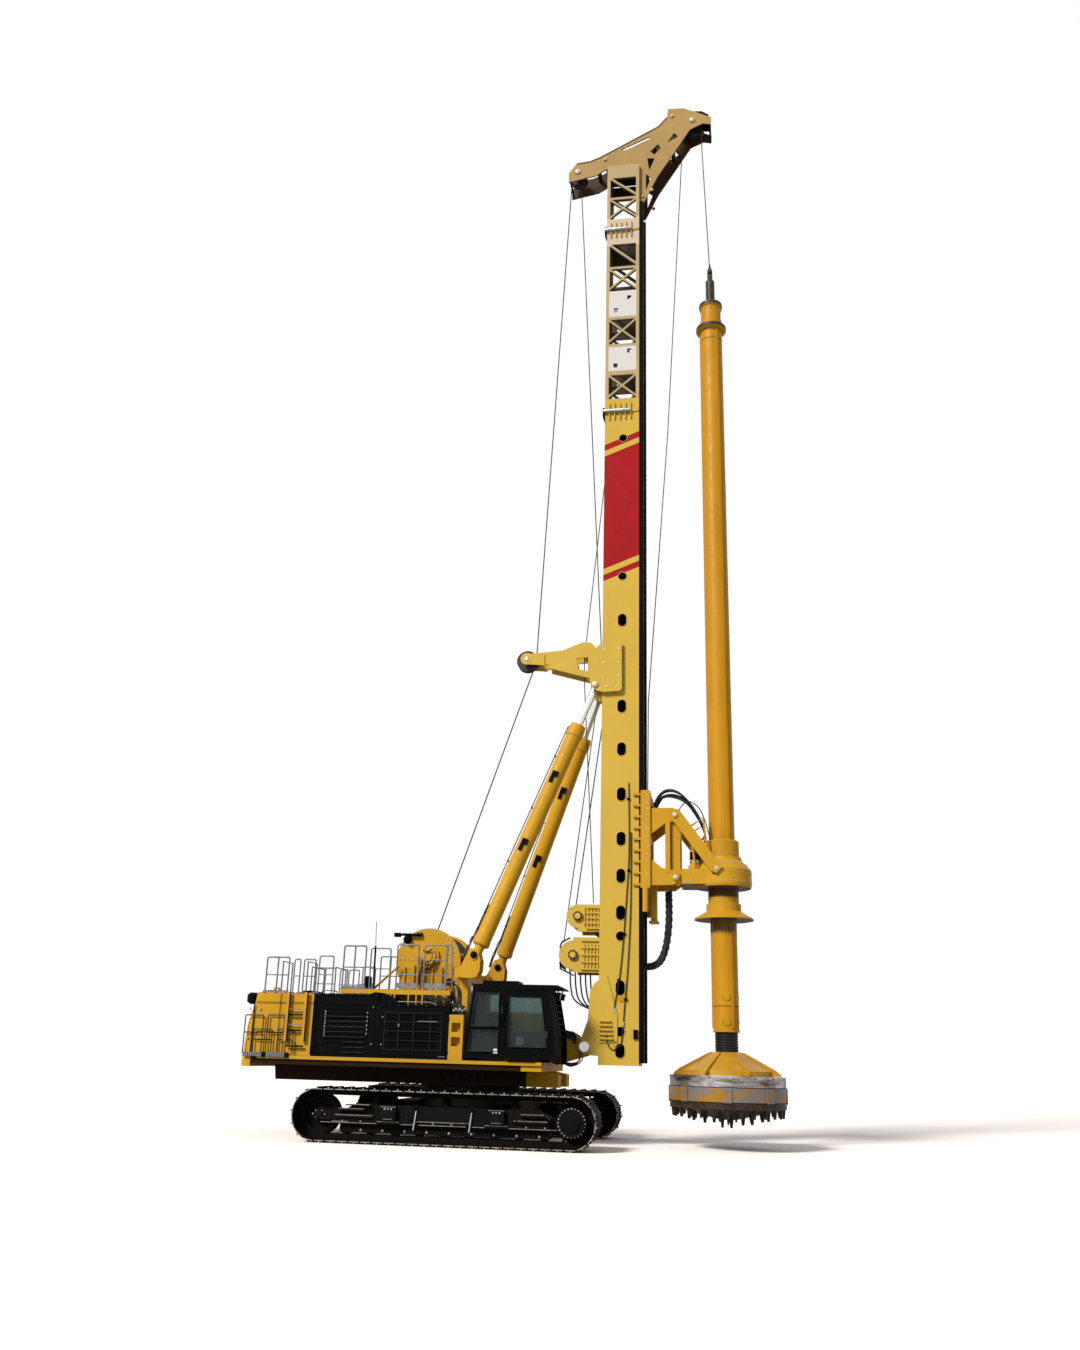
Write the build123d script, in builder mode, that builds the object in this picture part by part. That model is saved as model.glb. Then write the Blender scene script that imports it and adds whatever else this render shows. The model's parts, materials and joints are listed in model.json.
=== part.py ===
from build123d import *

# Crawler-mounted rotary piling rig, in millimetres. +X is forward, +Y is the driver's
# left, +Z is up and the floor is at z = 0. Stations along X are counted from the slewing
# axis; the planes and helpers below add SLEW_X, which puts the origin under the middle
# of the whole machine.

import os
from math import atan2, cos, degrees, pi, radians, sin

# ---------------------------------------------------------------- overall sizes
TAIL_REACH = 4950.0  # slewing axis to the back of the counterweight
KELLY_X = 5830.0  # slewing axis to the drilling axis
BUCKET_R = 1300.0
HOUSE_HALF = 1650.0  # half the width of the upper works
SLEW_X = (TAIL_REACH - KELLY_X - BUCKET_R) / 2

RUN = 0.3  # gap of a part that lies on its seat
PIN_FIT = 0.05  # radial clearance of a pin in its bore
CLEAR = 10.0  # gap between parts that pass each other

# ---------------------------------------------------------------- undercarriage
TRACK_L = 6500.0
TRACK_H = 1100.0
TRACK_SPAN = 5500.0  # over the outer edges of the shoes
SHOE_W = 1000.0
SHOE_T = 35.0
GROUSER = 30.0  # height and thickness of a grouser bar
SHOE_GAP = 16.0
SHOES = 56
RAIL_DEPTH = 100.0  # link chain inside the shoes
RAIL_IN = 90.0
RAIL_OUT = 150.0
TRACK_Y = (TRACK_SPAN - SHOE_W) / 2
WHEEL_X = (TRACK_L - TRACK_H) / 2
WHEEL_Z = TRACK_H / 2
SHOE_R = TRACK_H / 2 - GROUSER
CHAIN_R = SHOE_R - SHOE_T - RAIL_DEPTH
SIDE_FRAME_W = 640.0
SIDE_FRAME_TOP = 770.0
SIDE_FRAME_BOTTOM = 400.0
SKIRT_T = 30.0
SKIRT_BOTTOM = 215.0
ROLLERS = 9
ROLLER_R = 110.0
CARRIER_R = 72.0
CARRIER_X = (-1500.0, 0.0, 1500.0)
SPROCKET_TEETH = 21
HUB_R = 300.0
IDLER_AXLE_R = 62.0
BEAM_X = 1150.0  # cross beams of the car body
BEAM_W = 480.0
BEAM_BOTTOM = 430.0
BEAM_TOP = 850.0
TOW_EYE_Y = 500.0
TOW_EYE_Z = 620.0
TOW_EYE_R = 45.0
TOW_LUG = 120.0  # reach of a tow eye past its beam
TOW_LUG_R = 90.0
LUG_HALF = 30.0  # half the thickness of tow and lifting lugs
SWIVEL_R = 420.0  # way for the hoses through the middle of the bearing
RING_R = 1150.0
RING_W = 170.0
RING_BOTTOM = 1000.0
RING_SPLIT = 1090.0

# ---------------------------------------------------------------- upper frame
GIRDER_BOTTOM = 1180.0
DECK_BOTTOM = 1510.0
DECK_TOP = 1700.0
DECK_REAR = -4700.0
DECK_FRONT = 1900.0
GIRDER_IN = 420.0
GIRDER_OUT = 900.0
GIRDER_REAR = -4360.0
GIRDER_FRONT = 2160.0
SILL_IN = 90.0  # side sills of the deck, from its edge
SILL_OUT = 12.0
FRAME_X = (-3300.0, -1900.0, -400.0, 900.0)  # cross members of the deck
FRAME_W = 90.0
SUPPORT_IN = 290.0  # cheeks that carry the mast
SUPPORT_OUT = 400.0

# ---------------------------------------------------------------- house
HOUSE_TOP = 3050.0
HOUSE_LOW_TOP = 2850.0
WEIGHT_FRONT = -4100.0
HOOD_FRONT = -3310.0
LIFT_EYE_X = -4400.0
LIFT_EYE_Y = 1200.0
LIFT_EYE_Z = HOUSE_TOP + 70
LIFT_EYE_R = 35.0
HOUSE_REAR = -3300.0
HOUSE_STEP = -1800.0
HOUSE_FRONT = -190.0
BLADES = 10  # louvre blades in each half of a side door
BLADE_DEPTH = 22.0
WALL = 45.0
DOOR_T = 45.0
DOOR_GAP = 8.0
DOOR_EDGE = 55.0
KNUCKLE_R = 14.0
KNUCKLE_L = 90.0
TANK_REAR = 160.0
TANK_FRONT = 1750.0
INNER_SIDE = 700.0  # the mast swings down between the cab and the tank
COLUMN_FRONT = 140.0
COLUMN_TOP = 2650.0
STEP_Z = (1990.0, 2290.0)
STEP_H = 190.0
STEP_DEPTH = 170.0

# ---------------------------------------------------------------- cab
CAB_FLOOR = 1750.0
CAB_TOP = 3240.0
CAB_REAR = 160.0
CAB_FRONT = 2230.0
CAB_WALL = 60.0
CAB_PILLAR = 1030.0
PANE_T = 12.0
SEAT_HALF = 230.0
ARMREST = 100.0

# ---------------------------------------------------------------- winch deck and towers
PLATFORM_BOTTOM = 3065.0
PLATFORM_TOP = 3170.0
PLATFORM_REAR = -2780.0
PLATFORM_FRONT = -230.0
PLATFORM_IN = 150.0  # from the side of the house to the edge of the platform
WINCH_X = -930.0
WINCH_Z = 3830.0
WINCH_R = 760.0
WINCH_HALF = 850.0
DRUM_Z = WINCH_Z + 120
DRUM_R = 400.0
DRUM_FLANGE_R = 590.0
DRUM_HALF = 700.0
WINCH_RIBS = 6
TOWER_REAR = -175.0
TOWER_FRONT = 130.0
TOWER_IN = 900.0
TOWER_OUT = 1290.0
TOWER_TOP = 3640.0
FOOT_X = 300.0  # pins at the feet of the luffing cylinders
FOOT_Y = 1450.0
FOOT_Z = 3910.0
FOOT_PIN_R = 70.0
FOOT_GAP = 150.0  # half the gap between the lugs of a cylinder
FOOT_LUG = 50.0  # thickness of those lugs

# ---------------------------------------------------------------- mast
MAST_REAR = 2990.0
MAST_FRONT = 3900.0
MAST_HALF = 500.0
MAST_PLATE = 30.0
MAST_BOTTOM = 1680.0
MAST_BOX_TOP = 18600.0
MAST_TOP = 26270.0
RAIL_TOP = 24950.0
RAIL_FRONT = 4020.0
RAIL_SIDE = 120.0
PIVOT_X = 2680.0
PIVOT_Z = 2060.0
PIVOT_R = 110.0
PIVOT_REACH = 40.0  # pivot pin past the sides of the mast
EYE_X = 2830.0  # rod eyes of the luffing cylinders
EYE_Y = 420.0
EYE_Z = 10550.0
EYE_R = 100.0
EYE_HALF = 85.0
BRACKET_IN = 240.0  # inner plates beside the rod eyes
BRACKET_OUT = MAST_HALF + 75  # outer plates, on pads on the mast's sides
BRACKET_T = 45.0
ARM_T = 45.0  # webs of the pulley arm, against the inner plates
BARREL_R = 185.0
ROD_R = 90.0
BARREL_L = 6030.0
BARREL_START = BARREL_R + 115  # from the foot pin to the closed end
BARREL_NECK_R = 110.0
ROD_IN = 900.0  # length of rod left inside the barrel at rest
STROKE_BACK = 780.0  # room behind the rod for the mast to lean back
SHEAVE_X = 1030.0
SHEAVE_Z = 11380.0
SHEAVE_R = 270.0
SHEAVE_PIN_R = 45.0
SHEAVE_HUB = 150.0  # half the length of a sheave's hub
GROOVE = 45.0

# ---------------------------------------------------------------- crown
CROWN_HALF = 380.0
CROWN_T = 40.0
CROWN_REAR_X = 2110.0
CROWN_REAR_Z = 26290.0
CROWN_FRONT_X = 5420.0
CROWN_FRONT_Z = 27750.0
CROWN_SHEAVE_R = 300.0

# ---------------------------------------------------------------- carriage, drive, kelly
SLED_TOP = 7890.0
SLED_BOTTOM = 5590.0
SLED_PLATE = 140.0
SLED_WALL = 110.0
SLED_HALF = MAST_HALF + CLEAR + SLED_WALL
CLAW_COUNT = 9  # guide claws of the sled along each side of the mast
CLAW_H = 50.0
CLAW_X = (3770.0, 3950.0)
LINK_X = 4755.0
LINK_TOP_Z = 7270.0
LINK_LOW_Z = 5840.0
LINK_IN = 480.0  # plates and posts of the link frame
LINK_OUT = 560.0
POST_IN = 330.0
PIN_R = 75.0
BRACE_Y = SLED_HALF + 45
BRACE_T = 60.0
GEAR_BOTTOM = 5660.0
GEAR_R = 660.0
GEAR_DECK = 6030.0  # flat top beside the motors
MOTOR_X = 5190.0
MOTOR_Y = 290.0
COLLAR_Z = 6370.0  # top of the gearbox, where the turning collar rests
SLEEVE_TOP = 6770.0
CONE_Z = 4930.0
FLANGE_PCD = 1240.0
FLANGE_BOLT_R = 16.0
KELLY_R = 290.0
KEY_H = 22.0
KEY_W = 70.0
KELLY_BOTTOM = 2480.0
KELLY_TOP = 21680.0
KELLY_NECK = 21100.0
STOP_Z = 20760.0  # stop flange, and the upper end of the keys
STOP_H = 170.0
TOP_SWIVEL_R = 120.0
ROPE_EYE_Z = 22740.0
ROPE_EYE_R = 40.0
SLEEVE_IN = ((KELLY_R + KEY_H) ** 2 + (KEY_W / 2) ** 2) ** 0.5 + RUN
SLEEVE_R = SLEEVE_IN + 38
CONE_R = 680.0  # flange below the rotary drive
STUB_R = 250.0
BUCKET_TOP = 2030.0
BUCKET_RIM = 1530.0
BUCKET_BOTTOM = 860.0
BUCKET_WALL = 40.0
CONE_TOP_R = 330.0
CONE_LOW_R = 1050.0
WEBS = 8  # upright webs over the conical top
WEB_T = 36.0
PADS = 8
PAD_T = 25.0  # wear pads round the bucket
CONE_IN = 40.0  # step from the barrel to the conical bottom
CONE_TIP_R = 200.0
CONE_TIP_Z = 620.0
TOOTH_L = 170.0
TOOTH_ROOT = 35.0
TOOTH_RINGS = ((1200, 26), (880, 16), (540, 10), (130, 3))  # radius and number of teeth
MOUTH_X = (190.0, 1080.0)  # limits without teeth round each mouth
MOUTH_Y = (60.0, 460.0)

SIDES = {"right": -1, "left": 1}


# ================================================================ planes and solids
def side_plane(y):
    """Upright plane along the machine at station y: sketch x is forward, sketch y is up."""
    return Plane(origin=(SLEW_X, y, 0), x_dir=(1, 0, 0), z_dir=(0, -1, 0))


def cross_plane(x):
    """Upright plane across the machine at station x: sketch x is to the left."""
    return Plane(origin=(SLEW_X + x, 0, 0), x_dir=(0, 1, 0), z_dir=(1, 0, 0))


def plate(y, outline, mode=Mode.ADD):
    """Flat plate between two stations in y, from its (x, z) outline."""
    low, high = sorted(y)
    with BuildSketch(side_plane(high)) as face:
        with BuildLine():
            Polyline(*outline, close=True)
        make_face()
    extrude(face.sketch, amount=high - low, mode=mode)


def block(x, y, z, mode=Mode.ADD):
    """Square block between two limits along each axis."""
    (x0, x1), (y0, y1), (z0, z1) = sorted(x), sorted(y), sorted(z)
    with Locations((SLEW_X + (x0 + x1) / 2, (y0 + y1) / 2, (z0 + z1) / 2)):
        Box(x1 - x0, y1 - y0, z1 - z0, mode=mode)


def bar_across(x, z, radius, y, mode=Mode.ADD):
    """Round bar along Y."""
    low, high = sorted(y)
    with Locations(Location((SLEW_X + x, (low + high) / 2, z), (90, 0, 0))):
        Cylinder(radius, high - low, mode=mode)


def bar_upright(x, y, radius, z, mode=Mode.ADD):
    """Round bar along Z."""
    low, high = sorted(z)
    with Locations((SLEW_X + x, y, (low + high) / 2)):
        Cylinder(radius, high - low, mode=mode)


def strut(start, end, radius, mode=Mode.ADD):
    """Round bar between two points."""
    origin = Vector(*start) + Vector(SLEW_X, 0, 0)
    way = Vector(*end) - Vector(*start)
    with BuildSketch(Plane(origin=origin, z_dir=way)) as face:
        Circle(radius)
    extrude(face.sketch, amount=way.length, mode=mode)


def turned(x, y, outline, mode=Mode.ADD):
    """Body turned about the upright axis at (x, y), from its (radius, z) outline."""
    with BuildSketch(Plane(origin=(SLEW_X + x, y, 0), x_dir=(1, 0, 0), z_dir=(0, -1, 0))) as face:
        with BuildLine():
            Polyline(*outline, close=True)
        make_face()
    revolve(face.sketch, axis=Axis((SLEW_X + x, y, 0), (0, 0, 1)), mode=mode)


def wheel(x, z, y, outline):
    """Wheel turned about the cross axis at (x, z), from its (y, radius) outline."""
    with BuildSketch(Plane(origin=(SLEW_X + x, y, z), x_dir=(0, 1, 0), z_dir=(1, 0, 0))) as face:
        with BuildLine():
            Polyline(*outline, close=True)
        make_face()
    revolve(face.sketch, axis=Axis((SLEW_X + x, y, z), (0, 1, 0)))


def knuckles(x, s, heights, way, gap=0.0):
    """Hinge barrels on the outer face, with leaves that reach along the wall by way."""
    y = s * (HOUSE_HALF + KNUCKLE_R)
    for z in heights:
        bar_upright(x, y, KNUCKLE_R, (z + gap, z + KNUCKLE_L - gap))
        block((x, x + way * 70), (s * HOUSE_HALF, y), (z + gap, z + KNUCKLE_L - gap))


def save(piece, name):
    """Names a finished piece and writes it."""
    piece.part.label = name
    export_step(piece.part, f"parts/{name}.step")


# ================================================================ undercarriage
def loop_places(count, start, radius):
    """Evenly spaced places round the track at a radius, each turned square to it."""
    run = 2 * WHEEL_X
    arc = pi * radius
    pitch = 2 * (run + arc) / count
    places = []
    for n in range(count):
        way = (n + start) * pitch
        if way < run:
            x, z, turn = way - WHEEL_X, WHEEL_Z - radius, 0
        elif way < run + arc:
            turn = (way - run) / radius
            x, z = WHEEL_X + radius * sin(turn), WHEEL_Z - radius * cos(turn)
        elif way < 2 * run + arc:
            x, z, turn = WHEEL_X - (way - run - arc), WHEEL_Z + radius, pi
        else:
            turn = (way - 2 * run - arc) / radius + pi
            x, z = -WHEEL_X + radius * sin(turn), WHEEL_Z - radius * cos(turn)
        places.append(Location((x, z, 0), (0, 0, degrees(turn))))
    return places


def tracks():
    """Two closed loops of shoes, each shoe with its grouser, on a pair of link rails."""
    for side, s in SIDES.items():
        y = s * TRACK_Y
        with BuildPart() as track:
            with BuildSketch(side_plane(y + SHOE_W / 2)) as shoes:
                with Locations((0, WHEEL_Z)):
                    SlotCenterToCenter(2 * WHEEL_X, 2 * SHOE_R)
                with Locations(loop_places(SHOES, 0.5, SHOE_R)):
                    Rectangle(GROUSER, 2 * GROUSER)
                with Locations(loop_places(SHOES, 0.0, SHOE_R)):
                    Rectangle(SHOE_GAP, SHOE_T, mode=Mode.SUBTRACT)
                with Locations((0, WHEEL_Z)):
                    SlotCenterToCenter(2 * WHEEL_X, 2 * (SHOE_R - SHOE_T), mode=Mode.SUBTRACT)
            extrude(shoes.sketch, amount=SHOE_W)
            for k in (-1, 1):
                outer = y + (k * (RAIL_IN + RAIL_OUT) + RAIL_OUT - RAIL_IN) / 2
                with BuildSketch(side_plane(outer)) as rail:
                    with Locations((0, WHEEL_Z)):
                        SlotCenterToCenter(2 * WHEEL_X, 2 * (SHOE_R - SHOE_T))
                        SlotCenterToCenter(2 * WHEEL_X, 2 * CHAIN_R, mode=Mode.SUBTRACT)
                extrude(rail.sketch, amount=RAIL_OUT - RAIL_IN)
        save(track, f"track_{side}")


def track_frames():
    """Side frames with the skirts of the rollers, fork of the idler and drive plate."""
    nose = WHEEL_X - CHAIN_R - 75
    half = SIDE_FRAME_W / 2
    for side, s in SIDES.items():
        y = s * TRACK_Y
        with BuildPart() as frame:
            plate(
                (y - half, y + half),
                (
                    (-nose, SIDE_FRAME_BOTTOM), (nose, SIDE_FRAME_BOTTOM),
                    (nose, SIDE_FRAME_TOP - 170), (nose - 330, SIDE_FRAME_TOP),
                    (-nose + 330, SIDE_FRAME_TOP), (-nose, SIDE_FRAME_TOP - 170),
                ),
            )
            for k in (-1, 1):
                skirt = (y + k * (RAIL_OUT + 15), y + k * (RAIL_OUT + 15 + SKIRT_T))
                block((-nose, nose), skirt, (SKIRT_BOTTOM, SIDE_FRAME_BOTTOM))
                # fork of the idler at the back
                arm = (y + k * 200, y + k * 270)
                block((-WHEEL_X, -nose), arm, (WHEEL_Z - 105, WHEEL_Z + 105))
                bar_across(-WHEEL_X, WHEEL_Z, 105, arm)
                bar_across(-WHEEL_X, WHEEL_Z, IDLER_AXLE_R, arm, mode=Mode.SUBTRACT)
                # posts of the carrier rollers
                for x in CARRIER_X:
                    block(
                        (x - 60, x + 60), (y + k * (RAIL_OUT + 15), y + k * (RAIL_OUT + 45)),
                        (SIDE_FRAME_TOP, carrier_z() + 40),
                    )
            # plate behind the final drive
            drive = (y - s * 190, y - s * 260)
            block((nose, WHEEL_X), drive, (WHEEL_Z - 180, WHEEL_Z + 180))
            bar_across(WHEEL_X, WHEEL_Z, 250, drive)
            # outer face: steps, bolted boxes and ribs
            face = y + s * half
            for x, width, low, high, depth in (  # station, width, lower and upper edge, depth
                (-1950, 560, 640, 690, 90),
                (1900, 480, 640, 690, 90),
                (-1150, 330, 470, 740, 110),
                (1150, 330, 470, 740, 110),
                (0, 1180, 480, 740, 25),
                (-1900, 820, 500, 560, 40),
                (1850, 700, 500, 560, 40),
            ):
                block((x - width / 2, x + width / 2), (face, face + s * depth), (low, high))
        save(frame, f"track_frame_{side}")


def carrier_z():
    """Height of the carrier rollers, which hold up the top run of the chain."""
    return WHEEL_Z + CHAIN_R - CARRIER_R - RUN


def track_wheels():
    """Rollers, sprockets with their final drives, and idlers."""
    first = WHEEL_X - CHAIN_R - 200
    roller_z = WHEEL_Z - CHAIN_R + ROLLER_R + RUN
    with BuildPart() as rollers:
        for s in SIDES.values():
            y = s * TRACK_Y
            skirt = RAIL_OUT + 15
            for n in range(ROLLERS):
                x = -first + n * 2 * first / (ROLLERS - 1)
                bar_across(x, roller_z, ROLLER_R, (y - RAIL_OUT + 5, y + RAIL_OUT - 5))
                bar_across(x, roller_z, 45, (y - skirt, y + skirt))
            for x in CARRIER_X:
                bar_across(x, carrier_z(), CARRIER_R, (y - RAIL_OUT + 5, y + RAIL_OUT - 5))
                bar_across(x, carrier_z(), 35, (y - skirt, y + skirt))
    save(rollers, "track_rollers")
    with BuildPart() as sprockets:
        for s in SIDES.values():
            y = s * TRACK_Y
            with BuildSketch(side_plane(y + 45)) as gear:
                with Locations((WHEEL_X, WHEEL_Z)):
                    Circle(CHAIN_R + 5)
                    with PolarLocations(CHAIN_R + 25, SPROCKET_TEETH):
                        Trapezoid(70, 60, 72, rotation=-90)
            extrude(gear.sketch, amount=90)
            bar_across(WHEEL_X, WHEEL_Z, HUB_R, (y - s * 190, y + s * 330))
            bar_across(WHEEL_X, WHEEL_Z, HUB_R - 45, (y + s * 330, y + s * 385))
    save(sprockets, "track_sprockets")
    rim = CHAIN_R - RUN
    with BuildPart() as idlers:
        for s in SIDES.values():
            y = s * TRACK_Y
            wheel(
                -WHEEL_X, WHEEL_Z, y,
                (
                    (-180, 0), (-180, 150), (-60, 170), (-60, rim - 80), (-145, rim - 50), (-145, rim),
                    (-80, rim), (-70, rim + 30), (70, rim + 30), (80, rim),
                    (145, rim), (145, rim - 50), (60, rim - 80), (60, 170), (180, 150), (180, 0),
                ),
            )
            bar_across(-WHEEL_X, WHEEL_Z, IDLER_AXLE_R - PIN_FIT, (y - 285, y + 285))
    save(idlers, "track_idlers")


def car_body():
    """Centre frame between the tracks, its towing lugs and the fixed half of the slewing bearing."""
    reach = TRACK_Y - SIDE_FRAME_W / 2
    with BuildPart() as body:
        bar_upright(0, 0, RING_R - 40, (BEAM_BOTTOM + 60, RING_BOTTOM))
        for x in (-BEAM_X, BEAM_X):
            beam = (x - BEAM_W / 2, x + BEAM_W / 2)
            plate_low, plate_high = BEAM_BOTTOM, SIDE_FRAME_TOP - 20
            with BuildSketch(cross_plane(beam[0])) as shape:
                with BuildLine():
                    Polyline(
                        (-reach, plate_low), (reach, plate_low), (reach, plate_high),
                        (reach - 500, BEAM_TOP), (-reach + 500, BEAM_TOP), (-reach, plate_high), close=True,
                    )
                make_face()
            extrude(shape.sketch, amount=BEAM_W)
            for s in (-1, 1):
                block(
                    (beam[0] - 60, beam[1] + 60), (s * (reach - 50), s * reach),
                    (BEAM_BOTTOM - 25, SIDE_FRAME_TOP - 20),
                )
        block((-BEAM_X, BEAM_X), (-900, 900), (BEAM_BOTTOM, BEAM_BOTTOM + 60))
        bar_upright(0, 0, SWIVEL_R, (BEAM_BOTTOM - 1, RING_BOTTOM + 1), mode=Mode.SUBTRACT)
    save(body, "car_body")
    with BuildPart() as eyes:
        for s in (-1, 1):
            end = s * (BEAM_X + BEAM_W / 2)
            eye = end + s * TOW_LUG
            for y in (-TOW_EYE_Y, TOW_EYE_Y):
                lug = (TOW_EYE_Z - LUG_HALF, TOW_EYE_Z + LUG_HALF)
                block((end, eye), (y - TOW_LUG_R, y + TOW_LUG_R), lug)
                bar_upright(eye, y, TOW_LUG_R, lug)
                bar_upright(eye, y, TOW_EYE_R, (lug[0] - 1, lug[1] + 1), mode=Mode.SUBTRACT)
    save(eyes, "tow_eyes")
    with BuildPart() as lower:
        bar_upright(0, 0, RING_R, (RING_BOTTOM, RING_SPLIT - RUN))
        bar_upright(0, 0, RING_R - RING_W, (RING_BOTTOM - 1, RING_SPLIT + 1), mode=Mode.SUBTRACT)
    save(lower, "slew_ring_lower")


# ================================================================ upper frame
def deck_frame():
    """Slewing deck on two box girders, with the turning half of the bearing below."""
    with BuildPart() as upper:
        bar_upright(0, 0, RING_R - 15, (RING_SPLIT, GIRDER_BOTTOM))
        bar_upright(0, 0, RING_R - RING_W, (RING_SPLIT - 1, GIRDER_BOTTOM + 1), mode=Mode.SUBTRACT)
    save(upper, "slew_ring_upper")
    with BuildPart() as deck:
        block((DECK_REAR, DECK_FRONT), (-HOUSE_HALF, HOUSE_HALF), (DECK_TOP - 40, DECK_TOP))
        for s in (-1, 1):
            sill = (s * (HOUSE_HALF - SILL_IN), s * (HOUSE_HALF - SILL_OUT))
            block((DECK_REAR, DECK_FRONT), sill, (DECK_BOTTOM, DECK_TOP - 40))
            plate(
                (s * GIRDER_IN, s * GIRDER_OUT),
                (
                    (GIRDER_REAR - 60, DECK_TOP - 40), (GIRDER_REAR, GIRDER_BOTTOM),
                    (GIRDER_FRONT, GIRDER_BOTTOM), (GIRDER_FRONT, DECK_BOTTOM - 60),
                    (DECK_FRONT - 60, DECK_BOTTOM), (DECK_FRONT, DECK_TOP - 40),
                ),
            )
        for x in (DECK_REAR, *FRAME_X, DECK_FRONT - FRAME_W):
            wide = (SILL_OUT - HOUSE_HALF, HOUSE_HALF - SILL_OUT)
            block((x, x + FRAME_W), wide, (DECK_BOTTOM, DECK_TOP - 40))
        bar_upright(0, 0, RING_R, (GIRDER_BOTTOM, GIRDER_BOTTOM + 60))
        bar_upright(0, 0, SWIVEL_R, (GIRDER_BOTTOM - 1, GIRDER_BOTTOM + 61), mode=Mode.SUBTRACT)
    save(deck, "deck_frame")
    with BuildPart() as nose:
        for s in (-1, 1):
            plate(
                (s * SUPPORT_IN, s * SUPPORT_OUT),
                (
                    (950, DECK_TOP), (2080, DECK_TOP), (PIVOT_X, PIVOT_Z - 190),
                    (PIVOT_X + 150, PIVOT_Z - 90),
                    (PIVOT_X + 170, PIVOT_Z), (PIVOT_X + 110, PIVOT_Z + 130), (PIVOT_X - 40, PIVOT_Z + 175),
                    (2280, 2360), (2060, 2420), (1500, 2250),
                ),
            )
        block((1300, 1360), (-SUPPORT_IN, SUPPORT_IN), (DECK_TOP, 2150))
        block((2000, 2060), (-SUPPORT_IN, SUPPORT_IN), (DECK_TOP + 60, 2350))
        bar_across(PIVOT_X, PIVOT_Z, PIVOT_R, (-SUPPORT_OUT, SUPPORT_OUT), mode=Mode.SUBTRACT)
    save(nose, "mast_support")
    with BuildPart() as pin:
        reach = MAST_HALF + PIVOT_REACH
        bar_across(PIVOT_X, PIVOT_Z, PIVOT_R - PIN_FIT, (-reach, reach))
    save(pin, "mast_pivot_pin")


def counterweight():
    """Cast counterweight with a raked, rounded back that hangs behind the deck."""
    with BuildPart() as weight:
        plate(
            (-HOUSE_HALF, HOUSE_HALF),
            (
                (WEIGHT_FRONT, DECK_TOP), (DECK_REAR - RUN, DECK_TOP), (DECK_REAR - RUN, 1450),
                (-TAIL_REACH + 30, 1450), (-TAIL_REACH, 1620), (-TAIL_REACH + 60, 2350),
                (-TAIL_REACH + 230, HOUSE_TOP), (WEIGHT_FRONT, HOUSE_TOP),
            ),
        )
        corners = weight.edges().filter_by(lambda e: abs(e.tangent_at(0.5).Y) < 0.1)
        back = corners.filter_by(
            lambda e: e.center().X < SLEW_X - TAIL_REACH + 250 and abs(e.center().Y) > HOUSE_HALF - 50
        )
        fillet(back.filter_by(lambda e: e.length > 500), 160)
        for s in (-1, 1):
            lug = (s * LIFT_EYE_Y - LUG_HALF, s * LIFT_EYE_Y + LUG_HALF)
            plate(
                lug,
                (
                    (LIFT_EYE_X - 120, HOUSE_TOP - 10), (LIFT_EYE_X + 120, HOUSE_TOP - 10),
                    (LIFT_EYE_X + 55, LIFT_EYE_Z + 60), (LIFT_EYE_X - 55, LIFT_EYE_Z + 60),
                ),
            )
            bar_across(LIFT_EYE_X, LIFT_EYE_Z, LIFT_EYE_R, (lug[0] - 1, lug[1] + 1), mode=Mode.SUBTRACT)
    save(weight, "counterweight")


def engine_house():
    """Hollow rear hood and engine housing, with two door openings down each side."""
    with BuildPart() as hood:
        block((WEIGHT_FRONT + RUN, HOOD_FRONT), (-HOUSE_HALF, HOUSE_HALF), (DECK_TOP, HOUSE_TOP))
        block(
            (WEIGHT_FRONT + RUN + WALL, HOOD_FRONT - WALL), (-HOUSE_HALF + WALL, HOUSE_HALF - WALL),
            (DECK_TOP - 1, HOUSE_TOP - WALL), mode=Mode.SUBTRACT,
        )
    save(hood, "rear_hood")
    with BuildPart() as house:
        plate(
            (-HOUSE_HALF, HOUSE_HALF),
            (
                (HOUSE_REAR, DECK_TOP), (HOUSE_FRONT, DECK_TOP), (HOUSE_FRONT, HOUSE_LOW_TOP),
                (HOUSE_STEP, HOUSE_LOW_TOP), (HOUSE_STEP, HOUSE_TOP), (HOUSE_REAR, HOUSE_TOP),
            ),
        )
        plate(
            (-HOUSE_HALF + WALL, HOUSE_HALF - WALL),
            (
                (HOUSE_REAR + WALL, DECK_TOP - 1), (HOUSE_FRONT - WALL, DECK_TOP - 1),
                (HOUSE_FRONT - WALL, HOUSE_LOW_TOP - WALL), (HOUSE_STEP - WALL, HOUSE_LOW_TOP - WALL),
                (HOUSE_STEP - WALL, HOUSE_TOP - WALL), (HOUSE_REAR + WALL, HOUSE_TOP - WALL),
            ),
            mode=Mode.SUBTRACT,
        )
        for s in (-1, 1):
            for name, low, high, top, hinge in DOORS:
                block(
                    (low + DOOR_EDGE, high - DOOR_EDGE),
                    (s * (HOUSE_HALF - WALL - 1), s * (HOUSE_HALF + 1)),
                    (DECK_TOP + DOOR_EDGE, top - DOOR_EDGE), mode=Mode.SUBTRACT,
                )
                knuckles(hinge_x(low, high, hinge), s, [z - KNUCKLE_L for z in HINGE_Z], hinge)
    save(house, "engine_house")
    with BuildPart() as motor:
        block((-3050, -950), (-620, 620), (DECK_TOP, DECK_TOP + 850))
    save(motor, "engine")


# name, rear end, front end, roof above it, end that carries the hinge (-1 rear, 1 front)
DOORS = (
    ("louvre_door", HOUSE_REAR, HOUSE_STEP, HOUSE_TOP, -1),
    ("grille_door", HOUSE_STEP, HOUSE_FRONT, HOUSE_LOW_TOP, 1),
)
HINGE_Z = (1900.0, 2600.0)


def hinge_x(low, high, end):
    """Station of a side door's hinge, in the gap at one end of its opening."""
    edge = DOOR_EDGE + DOOR_GAP / 2
    return high - edge if end > 0 else low + edge


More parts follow.
